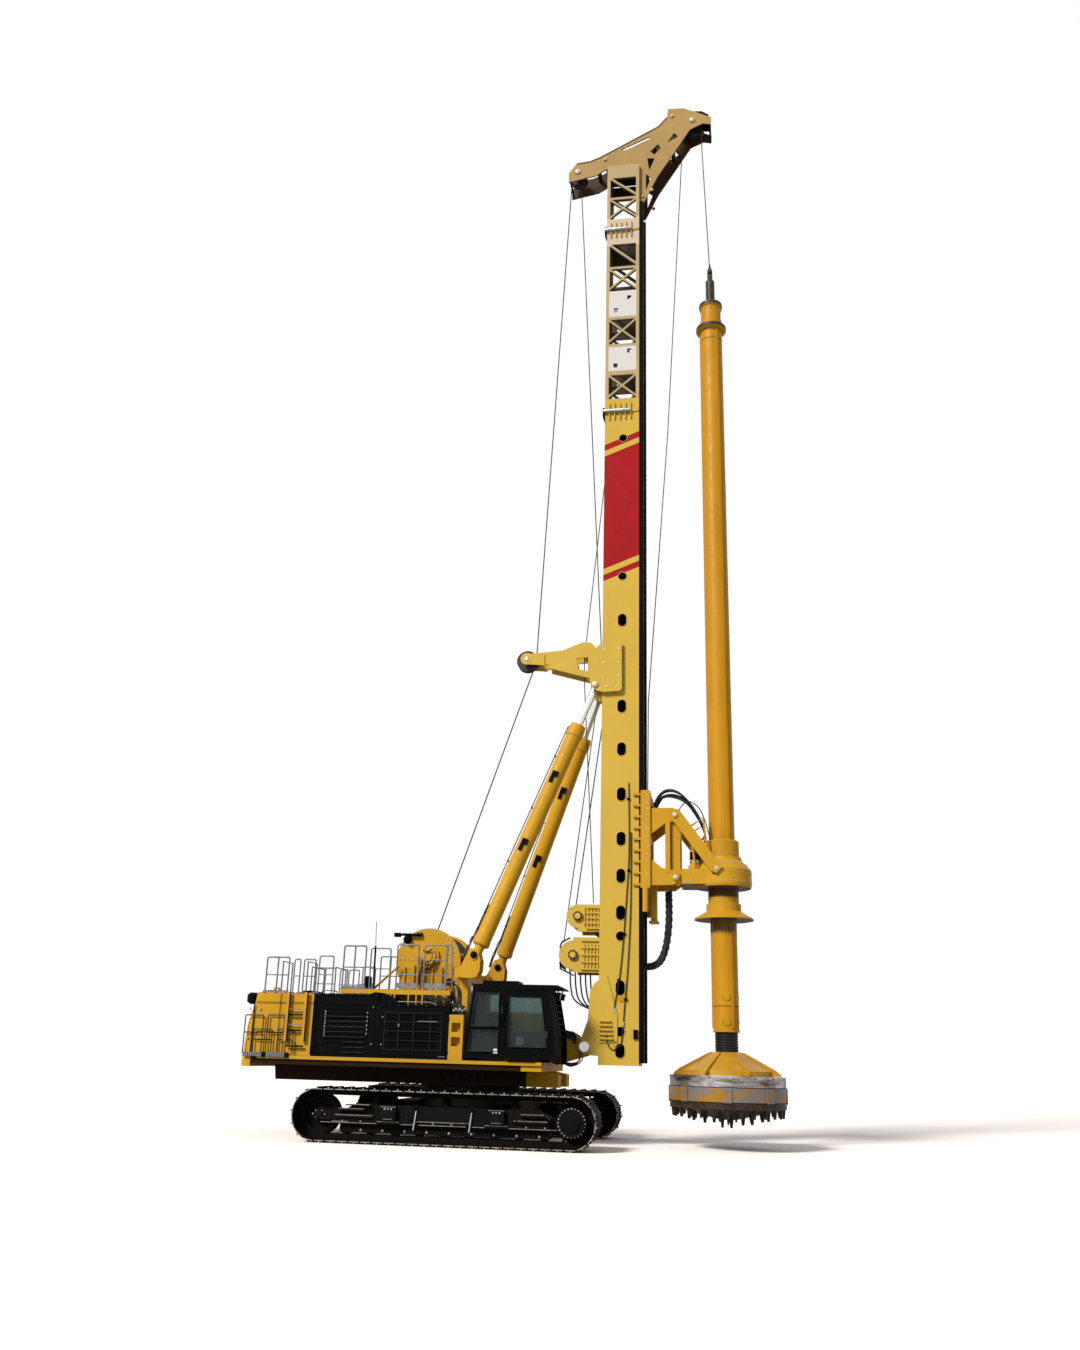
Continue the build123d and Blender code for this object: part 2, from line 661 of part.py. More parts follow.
def engine_doors():
    """Side doors of the engine house with a field of louvre blades in each."""
    for side, s in SIDES.items():
        for name, low, high, top, hinge in DOORS:
            x0, x1 = low + DOOR_EDGE + DOOR_GAP, high - DOOR_EDGE - DOOR_GAP
            z0, z1 = DECK_TOP + DOOR_EDGE + DOOR_GAP, top - DOOR_EDGE - DOOR_GAP
            with BuildPart() as door:
                block((x0, x1), (s * (HOUSE_HALF - DOOR_T), s * HOUSE_HALF), (z0, z1))
                knuckles(hinge_x(low, high, hinge), s, HINGE_Z, -hinge, RUN)
                pitch = (z1 - z0 - 320) / BLADES
                middle = (x0 + x1) / 2
                for n in range(BLADES):
                    z = z0 + 160 + n * pitch
                    for field in ((x0 + 190, middle - 20), (middle + 20, x1 - 190)):
                        block(
                            field, (s * (HOUSE_HALF - BLADE_DEPTH), s * (HOUSE_HALF + 1)),
                            (z + pitch * 0.2, z + pitch * 0.8), mode=Mode.SUBTRACT,
                        )
            save(door, f"{name}_{side}")


def side_boxes():
    """Step column ahead of the engine doors and the fuel tank across from the cab."""
    with BuildPart() as column:
        block((HOUSE_FRONT + CLEAR, COLUMN_FRONT), (-HOUSE_HALF, -TOWER_OUT - 20), (DECK_TOP, COLUMN_TOP))
        for z in STEP_Z:
            block(
                (HOUSE_FRONT + 70, COLUMN_FRONT - 60), (-HOUSE_HALF - 1, -HOUSE_HALF + STEP_DEPTH),
                (z, z + STEP_H), mode=Mode.SUBTRACT,
            )
    save(column, "step_column")
    with BuildPart() as tank:
        block((TANK_REAR, TANK_FRONT), (INNER_SIDE + 60, HOUSE_HALF), (DECK_TOP, 2820))
        fillet(tank.edges().filter_by(Axis.X).group_by(Axis.Z)[-1], 70)
        for x in (TANK_REAR + 300, TANK_REAR + 900):
            block((x, x + 400), (HOUSE_HALF - STEP_DEPTH, HOUSE_HALF + 1), (2050, 2330), mode=Mode.SUBTRACT)
    save(tank, "fuel_tank")


# ================================================================ cab
CAB_OUTLINE = (
    (CAB_REAR, CAB_FLOOR), (CAB_FRONT - 40, CAB_FLOOR), (CAB_FRONT, CAB_FLOOR + 260),
    (CAB_FRONT - 190, CAB_TOP), (CAB_REAR + 170, CAB_TOP),
)
REAR_WINDOW = ((330, 2420), (930, 2420), (930, 3130), (415, 3130))
LOW_WINDOW = ((290, 1900), (930, 1900), (930, 2330), (325, 2330))
DOORWAY = (
    (CAB_PILLAR + 40, CAB_FLOOR + 90), (CAB_FRONT - 150, CAB_FLOOR + 90),
    (CAB_FRONT - 125, CAB_FLOOR + 270),
    (CAB_FRONT - 290, CAB_TOP - 100), (CAB_PILLAR + 40, CAB_TOP - 100),
)
DOOR_PANE = (
    (CAB_PILLAR + 140, CAB_FLOOR + 260), (CAB_FRONT - 230, CAB_FLOOR + 260),
    (CAB_FRONT - 370, CAB_TOP - 200), (CAB_PILLAR + 140, CAB_TOP - 200),
)
FRONT_PANE_Z = (2050.0, CAB_TOP - 120)
REAR_PANE_Z = (2420.0, CAB_TOP - 140)
CAB_HINGE_X = CAB_PILLAR + 40 + DOOR_GAP / 2
CAB_HINGE_Z = (2050.0, 2900.0)
INNER_WINDOW = ((450, 2350), (1850, 2350), (1760, 3130), (470, 3130))


def inset(outline, y, depth, gap, mode=Mode.ADD):
    """Panel drawn in by a gap on every side, from y towards the right."""
    with BuildSketch(side_plane(y)) as face:
        with BuildLine():
            Polyline(*outline, close=True)
        make_face()
        if gap:
            offset(amount=-gap, kind=Kind.INTERSECTION, mode=Mode.REPLACE)
    extrude(face.sketch, amount=depth, mode=mode)


def lean(points, low, high):
    """Point on the cab's outline between two of its corners, at height z."""
    (x0, z0), (x1, z1) = points
    slope = (x1 - x0) / (z1 - z0)
    return x0 + slope * (low - z0), x0 + slope * (high - z0)


def cab():
    """Hollow cab with its window openings, its panes, its door and the seat inside."""
    outer, inner = -HOUSE_HALF, -INNER_SIDE
    with BuildPart() as shell:
        plate((outer, inner), CAB_OUTLINE)
        inset(CAB_OUTLINE, inner - CAB_WALL, inner - outer - 2 * CAB_WALL, CAB_WALL, mode=Mode.SUBTRACT)
        for outline in (REAR_WINDOW, LOW_WINDOW, DOORWAY):
            inset(outline, outer + CAB_WALL + 1, CAB_WALL + 2, 0, mode=Mode.SUBTRACT)
        inset(INNER_WINDOW, inner + 1, CAB_WALL + 2, 0, mode=Mode.SUBTRACT)
        front_pane = (outer + 100, inner - 100)
        rear_pane = (outer + 150, inner - 150)
        block((CAB_FRONT - 320, CAB_FRONT + 10), front_pane, FRONT_PANE_Z, mode=Mode.SUBTRACT)
        block((CAB_REAR - 10, CAB_REAR + 300), rear_pane, REAR_PANE_Z, mode=Mode.SUBTRACT)
        for x in (CAB_REAR + 120, CAB_FRONT - 330):
            for y in (outer + 130, inner - 130):
                bar_upright(x, y, 60, (DECK_TOP, CAB_FLOOR))
        knuckles(CAB_HINGE_X, -1, [z - KNUCKLE_L for z in CAB_HINGE_Z], -1)
    save(shell, "cab_shell")
    with BuildPart() as glass:
        for outline in (REAR_WINDOW, LOW_WINDOW):
            inset(outline, outer + 24 + PANE_T, PANE_T, RUN)
        inset(INNER_WINDOW, inner - 24, PANE_T, RUN)
        for ends, height, wide, depth in (
            ((2, 3), FRONT_PANE_Z, front_pane, -30 - PANE_T),
            ((0, 4), REAR_PANE_Z, rear_pane, 30),
        ):
            z0, z1 = height[0] + RUN, height[1] - RUN
            x0, x1 = lean([CAB_OUTLINE[n] for n in ends], z0, z1)
            plate(
                (wide[0] + RUN, wide[1] - RUN),
                (
                    (x0 + depth, z0), (x0 + depth + PANE_T, z0),
                    (x1 + depth + PANE_T, z1), (x1 + depth, z1),
                ),
            )
    save(glass, "cab_glass")
    with BuildPart() as door:
        inset(DOORWAY, outer + 50, 50, DOOR_GAP)
        knuckles(CAB_HINGE_X, -1, CAB_HINGE_Z, 1, RUN)
        inset(DOOR_PANE, outer + 51, 52, 0, mode=Mode.SUBTRACT)
    save(door, "cab_door")
    with BuildPart() as pane:
        inset(DOOR_PANE, outer + 20 + PANE_T, PANE_T, RUN)
    save(pane, "cab_door_glass")
    middle = (outer + inner) / 2
    floor = CAB_FLOOR + CAB_WALL
    with BuildPart() as seat:
        block((620, 1120), (middle - 190, middle + 190), (floor, floor + 250))
        block((560, 1150), (middle - SEAT_HALF, middle + SEAT_HALF), (floor + 250, floor + 380))
        plate(
            (middle - SEAT_HALF, middle + SEAT_HALF),
            ((500, floor + 360), (640, floor + 380), (560, floor + 1020), (440, floor + 1000)),
        )
        for s in (-1, 1):
            plate(
                (middle + s * SEAT_HALF, middle + s * (SEAT_HALF + ARMREST)),
                ((700, floor + 250), (1150, floor + 250), (1330, floor + 540), (700, floor + 500)),
            )
    save(seat, "cab_seat")
    with BuildPart() as guard:
        plate(
            (outer, inner),
            (
                (CAB_REAR + 190, CAB_TOP + RUN), (CAB_FRONT - 60, CAB_TOP + RUN),
                (CAB_FRONT + 100, CAB_TOP - 10), (CAB_FRONT + 100, CAB_TOP + 20),
                (CAB_FRONT - 20, CAB_TOP + 80), (CAB_REAR + 190, CAB_TOP + 80),
            ),
        )
    save(guard, "cab_roof_guard")


# ================================================================ winch deck and towers
def winch_platform():
    """Platform over the engine house that carries the main winch."""
    with BuildPart() as platform:
        half = HOUSE_HALF - PLATFORM_IN
        block((PLATFORM_REAR, PLATFORM_FRONT), (-half, half), (PLATFORM_BOTTOM, PLATFORM_TOP))
        for s in (-1, 1):
            block((HOUSE_STEP + 60, PLATFORM_FRONT), (s * 800, s * 950), (HOUSE_LOW_TOP, PLATFORM_BOTTOM))
            block((PLATFORM_REAR + 60, HOUSE_STEP), (s * 800, s * 950), (HOUSE_TOP, PLATFORM_BOTTOM))
        for x in (HOUSE_STEP + 100, PLATFORM_FRONT - 200):
            block((x, x + 120), (20 - half, half - 20), (HOUSE_LOW_TOP + 80, PLATFORM_BOTTOM))
    save(platform, "winch_platform")


def main_winch():
    """Main winch: round-topped cheek plates with upright ribs, and the rope drum."""
    with BuildPart() as frame:
        for s in (-1, 1):
            with BuildSketch(side_plane(s * WINCH_HALF + 30)) as cheek:
                with Locations((WINCH_X, WINCH_Z)):
                    Circle(WINCH_R)
                with BuildLine():
                    Polyline(
                        (WINCH_X - 640, PLATFORM_TOP), (WINCH_X + 620, PLATFORM_TOP),
                        (WINCH_X + 690, WINCH_Z + 180), (WINCH_X - 700, WINCH_Z + 300), close=True,
                    )
                make_face()
                with Locations((WINCH_X, PLATFORM_TOP - WINCH_R)):
                    Rectangle(4 * WINCH_R, 2 * WINCH_R, mode=Mode.SUBTRACT)
            extrude(cheek.sketch, amount=60)
            for n in range(WINCH_RIBS):
                x = WINCH_X - 560 + n * 220
                high = WINCH_Z - 120 + 40 * (n % 2)
                block((x, x + 40), (s * (WINCH_HALF + 30), s * (WINCH_HALF + 80)), (PLATFORM_TOP, high))
            bar_across(WINCH_X, DRUM_Z, 260, (s * (WINCH_HALF + 30), s * (WINCH_HALF + 110)))
        for x, z in ((-640, 260), (665, 190), (520, -560), (-520, -560)):
            bar_across(WINCH_X + x, WINCH_Z + z, 55, (-WINCH_HALF, WINCH_HALF))
    save(frame, "main_winch_frame")
    with BuildPart() as drum:
        bar_across(WINCH_X, DRUM_Z, DRUM_R, (-DRUM_HALF, DRUM_HALF))
        for s in (-1, 1):
            bar_across(WINCH_X, DRUM_Z, DRUM_FLANGE_R, (s * DRUM_HALF, s * (DRUM_HALF + 40)))
            bar_across(WINCH_X, DRUM_Z, 180, (s * (DRUM_HALF + 40), s * (WINCH_HALF - 30)))
    save(drum, "main_winch_drum")


def cylinder_line(s):
    """Foot of one luffing cylinder, the way to its rod eye and the axis of its pins."""
    foot = Vector(FOOT_X, s * FOOT_Y, FOOT_Z)
    way = (Vector(EYE_X, s * EYE_Y, EYE_Z) - foot).normalized()
    return foot, way, Vector(0, way.Z, -way.Y).normalized()


def towers():
    """Box legs ahead of the engine house, their cross beam and the cylinder lugs."""
    with BuildPart() as tower:
        for s in (-1, 1):
            block((TOWER_REAR, TOWER_FRONT), (s * TOWER_IN, s * TOWER_OUT), (DECK_TOP, TOWER_TOP))
            for k in (-1, 1):
                plate(
                    (s * FOOT_Y + k * FOOT_GAP, s * FOOT_Y + k * (FOOT_GAP + FOOT_LUG)),
                    (
                        (-100, 3460), (180, 3440), (380, 3460), (450, 3600), (460, 3820), (400, 4040),
                        (300, 4080), (200, 4060), (20, 3700), (-100, TOWER_TOP),
                    ),
                )
            outer = FOOT_Y + FOOT_GAP + FOOT_LUG
            block((-100, 20), (s * (TOWER_OUT - 40), s * outer), (3460, TOWER_TOP))
            foot, way, across = cylinder_line(s)
            reach = across * (FOOT_GAP + FOOT_LUG + 25)
            strut(foot - reach, foot + reach, FOOT_PIN_R)
        block((TOWER_REAR, 60), (-TOWER_IN, TOWER_IN), (3390, TOWER_TOP))
    save(tower, "cylinder_towers")


# ================================================================ mast
MAST_PORTS = (  # (height, half length of the straight part) of the ports down each side
    (17400, 0), (13450, 0), (12260, 60), (10010, 60), (8930, 60), (7820, 60), (6750, 60),
    (5880, 60), (5030, 60), (4500, 0), (3350, 60), (2400, 0), (1990, 50),
)
LATTICE = (  # (bottom, top, pattern) of each bay above the box
    (18600, 19400, "cross"), (19400, 20300, "panel"), (20300, 21150, "cross"), (21150, 22000, "panel"),
    (22000, 22800, "cross"), (22800, 23620, "diagonal"), (23620, 24400, "splice"),
    (24400, 25150, "cross"), (25150, 25900, "diagonal"), (25900, 26270, "splice"),
)


def mast_box():
    """Hollow box section of the mast with ports through both side walls."""
    with BuildPart() as box:
        block((MAST_REAR, MAST_FRONT), (-MAST_HALF, MAST_HALF), (MAST_BOTTOM, MAST_BOX_TOP))
        block(
            (MAST_REAR + MAST_PLATE, MAST_FRONT - MAST_PLATE),
            (-MAST_HALF + MAST_PLATE, MAST_HALF - MAST_PLATE),
            (MAST_BOTTOM - 1, MAST_BOX_TOP - MAST_PLATE), mode=Mode.SUBTRACT,
        )
        with BuildSketch(side_plane(MAST_HALF + 1)) as ports:
            for z, half in MAST_PORTS:
                with Locations((MAST_REAR + 490, z)):
                    if half:
                        SlotCenterToCenter(2 * half, 210, rotation=90)
                    else:
                        Circle(105)
        extrude(ports.sketch, amount=2 * MAST_HALF + 2, mode=Mode.SUBTRACT)
    save(box, "mast_box")
    with BuildPart() as rails:
        for s in (-1, 1):
            rail = (s * (MAST_HALF - RAIL_SIDE), s * MAST_HALF)
            block((MAST_FRONT, RAIL_FRONT), rail, (MAST_BOTTOM + 60, RAIL_TOP))
    save(rails, "mast_rails")


def bay_members(low, high, z0, z1, pattern):
    """Members of one lattice bay seen square on, between two chords."""
    middle = (low + high) / 2, (z0 + z1) / 2
    wide, tall = high - low, z1 - z0
    slant = degrees(atan2(tall, wide))
    with Locations((middle[0], z1 - 35)):
        Rectangle(wide, 70)
    if pattern == "cross":
        with Locations(middle):
            Rectangle((wide**2 + tall**2) ** 0.5, 50, rotation=slant)
            Rectangle((wide**2 + tall**2) ** 0.5, 50, rotation=-slant)
    elif pattern == "diagonal":
        with Locations(middle):
            Rectangle((wide**2 + tall**2) ** 0.5, 60, rotation=-slant)
    else:
        with Locations(middle):
            Rectangle(wide, tall)
        if pattern == "panel":
            with Locations((middle[0] + 0.2 * wide, z1 - 230), (middle[0] - 0.2 * wide, z0 + 230)):
                Rectangle(110, 130, mode=Mode.SUBTRACT)


def mast_lattice():
    """Lattice section above the box: four braced faces that meet in the corner chords."""
    chord = 90
    with BuildPart() as lattice:
        with BuildSketch(side_plane(MAST_HALF)) as side_face:
            for x in (MAST_REAR, MAST_FRONT - chord):
                with Locations((x + chord / 2, (MAST_BOX_TOP + MAST_TOP) / 2)):
                    Rectangle(chord, MAST_TOP - MAST_BOX_TOP)
            for z0, z1, pattern in LATTICE:
                bay_members(MAST_REAR, MAST_FRONT, z0, z1, pattern)
            with Locations(((MAST_REAR + MAST_FRONT) / 2, (MAST_BOX_TOP + MAST_TOP) / 2)):
                Rectangle(MAST_FRONT - MAST_REAR, MAST_TOP - MAST_BOX_TOP, mode=Mode.INTERSECT)
        extrude(side_face.sketch, amount=chord)
        extrude(side_face.sketch.moved(Location((0, chord - 2 * MAST_HALF, 0))), amount=chord)
        with BuildSketch(cross_plane(MAST_REAR)) as end_face:
            for y in (-MAST_HALF + chord / 2, MAST_HALF - chord / 2):
                with Locations((y, (MAST_BOX_TOP + MAST_TOP) / 2)):
                    Rectangle(chord, MAST_TOP - MAST_BOX_TOP)
            for z0, z1, pattern in LATTICE:
                bay_members(-MAST_HALF, MAST_HALF, z0, z1, "splice" if pattern == "splice" else "diagonal")
            with Locations((0, (MAST_BOX_TOP + MAST_TOP) / 2)):
                Rectangle(2 * MAST_HALF, MAST_TOP - MAST_BOX_TOP, mode=Mode.INTERSECT)
        extrude(end_face.sketch, amount=chord)
        extrude(end_face.sketch.moved(Location((MAST_FRONT - MAST_REAR - chord, 0, 0))), amount=chord)
    save(lattice, "mast_lattice")


def mast_foot():
    """Plates that hang the mast on its pivot pin, with their stiffening ribs."""
    with BuildPart() as foot:
        for s in (-1, 1):
            plate(
                (s * (SUPPORT_OUT + CLEAR), s * MAST_HALF),
                (
                    (MAST_REAR, 1870), (2830, 1880), (PIVOT_X - 110, PIVOT_Z - 130),
                    (PIVOT_X - 165, PIVOT_Z), (PIVOT_X - 90, PIVOT_Z + 150), (2750, 2640),
                    (2790, 3290), (2900, 3450), (MAST_REAR, 3520),
                ),
            )
        inner = SUPPORT_OUT + CLEAR
        block((2840, MAST_REAR), (-inner, inner), (2700, 2760))
        block((2860, MAST_REAR), (-inner, inner), (3300, 3360))
        bar_across(PIVOT_X, PIVOT_Z, PIVOT_R, (-MAST_HALF - 1, MAST_HALF + 1), mode=Mode.SUBTRACT)
        # fan of ribs on the mast's side
        for s in (-1, 1):
            for n in range(5):
                z = 2230 + 95 * n
                block((3010, 3330 - 12 * n), (s * MAST_HALF, s * (MAST_HALF + 90)), (z, z + 28))
            plate(
                (s * MAST_HALF, s * (MAST_HALF + 30)),
                ((3000, 2150), (3420, 2180), (3420, 2760), (3180, 3620), (3000, 3540)),
            )
    save(foot, "mast_foot")


def cylinder_bracket():
    """Plates either side of the rod eyes, and the arm with its deflection sheave."""
    with BuildPart() as bracket:
        for s in (-1, 1):
            plate(
                (s * BRACKET_OUT, s * (BRACKET_OUT + BRACKET_T)),
                (
                    (3040, 11620), (3140, 11670), (3480, 11640), (3490, 10430), (3440, 10370),
                    (3040, 10350), (2880, 10390), (2730, 10500), (2700, 10680), (2720, 11180),
                    (2890, 11560),
                ),
            )
            block((3000, 3440), (s * MAST_HALF, s * BRACKET_OUT), (10420, 11600))
            plate(
                (s * BRACKET_IN, s * (BRACKET_IN + BRACKET_T)),
                (
                    (MAST_REAR, 11600), (2750, 11560), (2680, 11200), (2680, 10500), (2760, 10400),
                    (MAST_REAR, 10350),
                ),
            )
            cap = BRACKET_OUT + BRACKET_T
            bar_across(EYE_X, EYE_Z, 85, (s * cap, s * (cap + 30)))
        block((2900, MAST_REAR), (-BRACKET_IN, BRACKET_IN), (11300, 11380))
    save(bracket, "cylinder_bracket")
    with BuildPart() as arm:
        for s in (-1, 1):
            with BuildSketch(side_plane(max(s * BRACKET_IN, s * (BRACKET_IN - ARM_T)))) as web:
                with BuildLine():
                    Polyline(
                        (2880, 10850), (2600, 10850), (1620, 11130), (1620, 11230),
                        (SHEAVE_X, SHEAVE_Z - 130), (SHEAVE_X - 100, SHEAVE_Z), (SHEAVE_X, SHEAVE_Z + 140),
                        (1620, 11560), (1950, 11590), (2450, 11790), (2670, 11780), (2880, 11560),
                        close=True,
                    )
                make_face()
                with BuildLine():
                    Polyline((2300, 11370), (2600, 11390), (2600, 11020), (2350, 11080), close=True)
                make_face(mode=Mode.SUBTRACT)
            extrude(web.sketch, amount=ARM_T)
        inner = BRACKET_IN - ARM_T
        block((1640, 1700), (-inner, inner), (11180, 11540))
        block((2480, 2540), (-inner, inner), (11450, 11700))
        bar_across(SHEAVE_X, SHEAVE_Z, SHEAVE_PIN_R, (-BRACKET_IN - 20, BRACKET_IN + 20))
    save(arm, "pulley_arm")
    with BuildPart() as sheave:
        sheave_wheel(SHEAVE_X, SHEAVE_Z, SHEAVE_R)
        sheave_bore(SHEAVE_X, SHEAVE_Z)
    save(sheave, "deflection_sheave")


def sheave_wheel(x, z, radius):
    """Two-groove rope sheave on the middle plane of the mast."""
    wheel(
        x, z, 0,
        (
            (-SHEAVE_HUB, 0), (-SHEAVE_HUB, 95), (-95, 110), (-95, radius), (-80, radius),
            (-60, radius - GROOVE), (-40, radius - GROOVE), (-20, radius), (20, radius),
            (40, radius - GROOVE), (60, radius - GROOVE), (80, radius), (95, radius), (95, 110),
            (SHEAVE_HUB, 95), (SHEAVE_HUB, 0),
        ),
    )


def sheave_bore(x, z):
    """Running bore of a sheave on its pin."""
    bar_across(x, z, SHEAVE_PIN_R + PIN_FIT, (-SHEAVE_HUB - 10, SHEAVE_HUB + 10), mode=Mode.SUBTRACT)


def mast_winches():
    """Auxiliary winch and crowd winch, carried on the back of the mast."""
    for name, x, z, radius, low, high in (
        ("aux_winch", 2480, 4950, 270, 4600, 5220),
        ("crowd_winch", 2380, 4070, 330, 3680, 4470),
    ):
        with BuildPart() as winch:
            for s in (-1, 1):
                with BuildSketch(side_plane(s * 430 + 20)) as cheek:
                    with Locations((x, z)):
                        Circle(radius)
                    with BuildLine():
                        Polyline((x, low), (MAST_REAR, low), (MAST_REAR, high), (x, high), close=True)
                    make_face()
                extrude(cheek.sketch, amount=40)
                for n in range(5):
                    rib = low + 60 + n * (high - low - 150) / 4
                    block((x + 190, MAST_REAR), (s * 450, s * 500), (rib, rib + 30))
                bar_across(x, z, 120, (s * 450, s * 500))
            bar_across(x, z, radius - 90, (-410, 410))
            block((MAST_REAR - 40, MAST_REAR), (-410, 410), (low, high))
        save(winch, name)


CROWN_OUTLINE = (
    (1850, 25940), (1850, 26260), (2080, 26590), (2460, 26620), (2750, 26730), (4440, 27640), (4700, 27940),
    (4730, 28230), (5170, 28210), (5650, 27960), (5970, 27780), (5960, 27530), (5730, 27590), (5360, 27420),
    (4400, 25830), (4020, 25000), (MAST_FRONT + RUN, 25000), (MAST_FRONT + RUN, MAST_TOP), (2930, MAST_TOP),
    (2650, 26090),
)
CROWN_HOLES = (
    ((3350, 26930), (3480, 26890), (4220, 27230), (4180, 27300)),
    ((4200, 26760), (4440, 27000), (4520, 26850), (4330, 26640)),
    ((4120, 26540), (4340, 26500), (4180, 26100)),
    ((4080, 25980), (4230, 25830), (4080, 25400)),
    ((4700, 27020), (4900, 27350), (5010, 27200)),
)


def crown():
    """Mast head: two cut-out side plates, cross tubes and the rope sheaves."""
    with BuildPart() as head:
        for s in (-1, 1):
            plate((s * (CROWN_HALF - CROWN_T), s * CROWN_HALF), CROWN_OUTLINE)
            for hole in CROWN_HOLES:
                plate((s * (CROWN_HALF - CROWN_T - 1), s * (CROWN_HALF + 1)), hole, mode=Mode.SUBTRACT)
        inner = CROWN_HALF - CROWN_T
        block((2930, MAST_FRONT), (-inner, inner), (MAST_TOP, MAST_TOP + 60))
        block((MAST_FRONT + RUN, MAST_FRONT + 60), (-inner, inner), (25060, 26300))
        for x, z in ((2700, 26500), (4300, 27300), (4650, 27600), (4850, 27000)):
            bar_across(x, z, 60, (-inner, inner))
        for x, z in ((CROWN_REAR_X, CROWN_REAR_Z), (CROWN_FRONT_X, CROWN_FRONT_Z)):
            bar_across(x, z, SHEAVE_PIN_R, (-inner, inner))
    save(head, "crown_frame")
    for name, x, z in (("rear", CROWN_REAR_X, CROWN_REAR_Z), ("front", CROWN_FRONT_X, CROWN_FRONT_Z)):
        with BuildPart() as sheave:
            sheave_wheel(x, z, CROWN_SHEAVE_R - 60)
            sheave_bore(x, z)
        save(sheave, f"crown_sheave_{name}")


# ================================================================ luffing cylinders
def luffing_cylinders():
    """Barrels on the towers and rods to the mast, leaning in towards the mast."""
    for side, s in SIDES.items():
        foot, way, across = cylinder_line(s)
        eye = Vector(EYE_X, s * EYE_Y, EYE_Z)
        end = foot + way * BARREL_L
        with BuildPart() as barrel:
            strut(foot + way * BARREL_START, end, BARREL_R)
            strut(foot, foot + way * (BARREL_START + 40), BARREL_NECK_R)
            strut(foot - across * 110, foot + across * 110, 150)
            strut(foot - across * 200, foot + across * 200, FOOT_PIN_R + PIN_FIT, mode=Mode.SUBTRACT)
            bottom = foot + way * (BARREL_L - ROD_IN - STROKE_BACK)
            strut(bottom, end + way, ROD_R + RUN, mode=Mode.SUBTRACT)
        save(barrel, f"luffing_barrel_{side}")
        with BuildPart() as rod:
            strut(foot + way * (BARREL_L - ROD_IN), eye, ROD_R)
            strut(eye - across * EYE_HALF, eye + across * EYE_HALF, EYE_R)
        save(rod, f"luffing_rod_{side}")


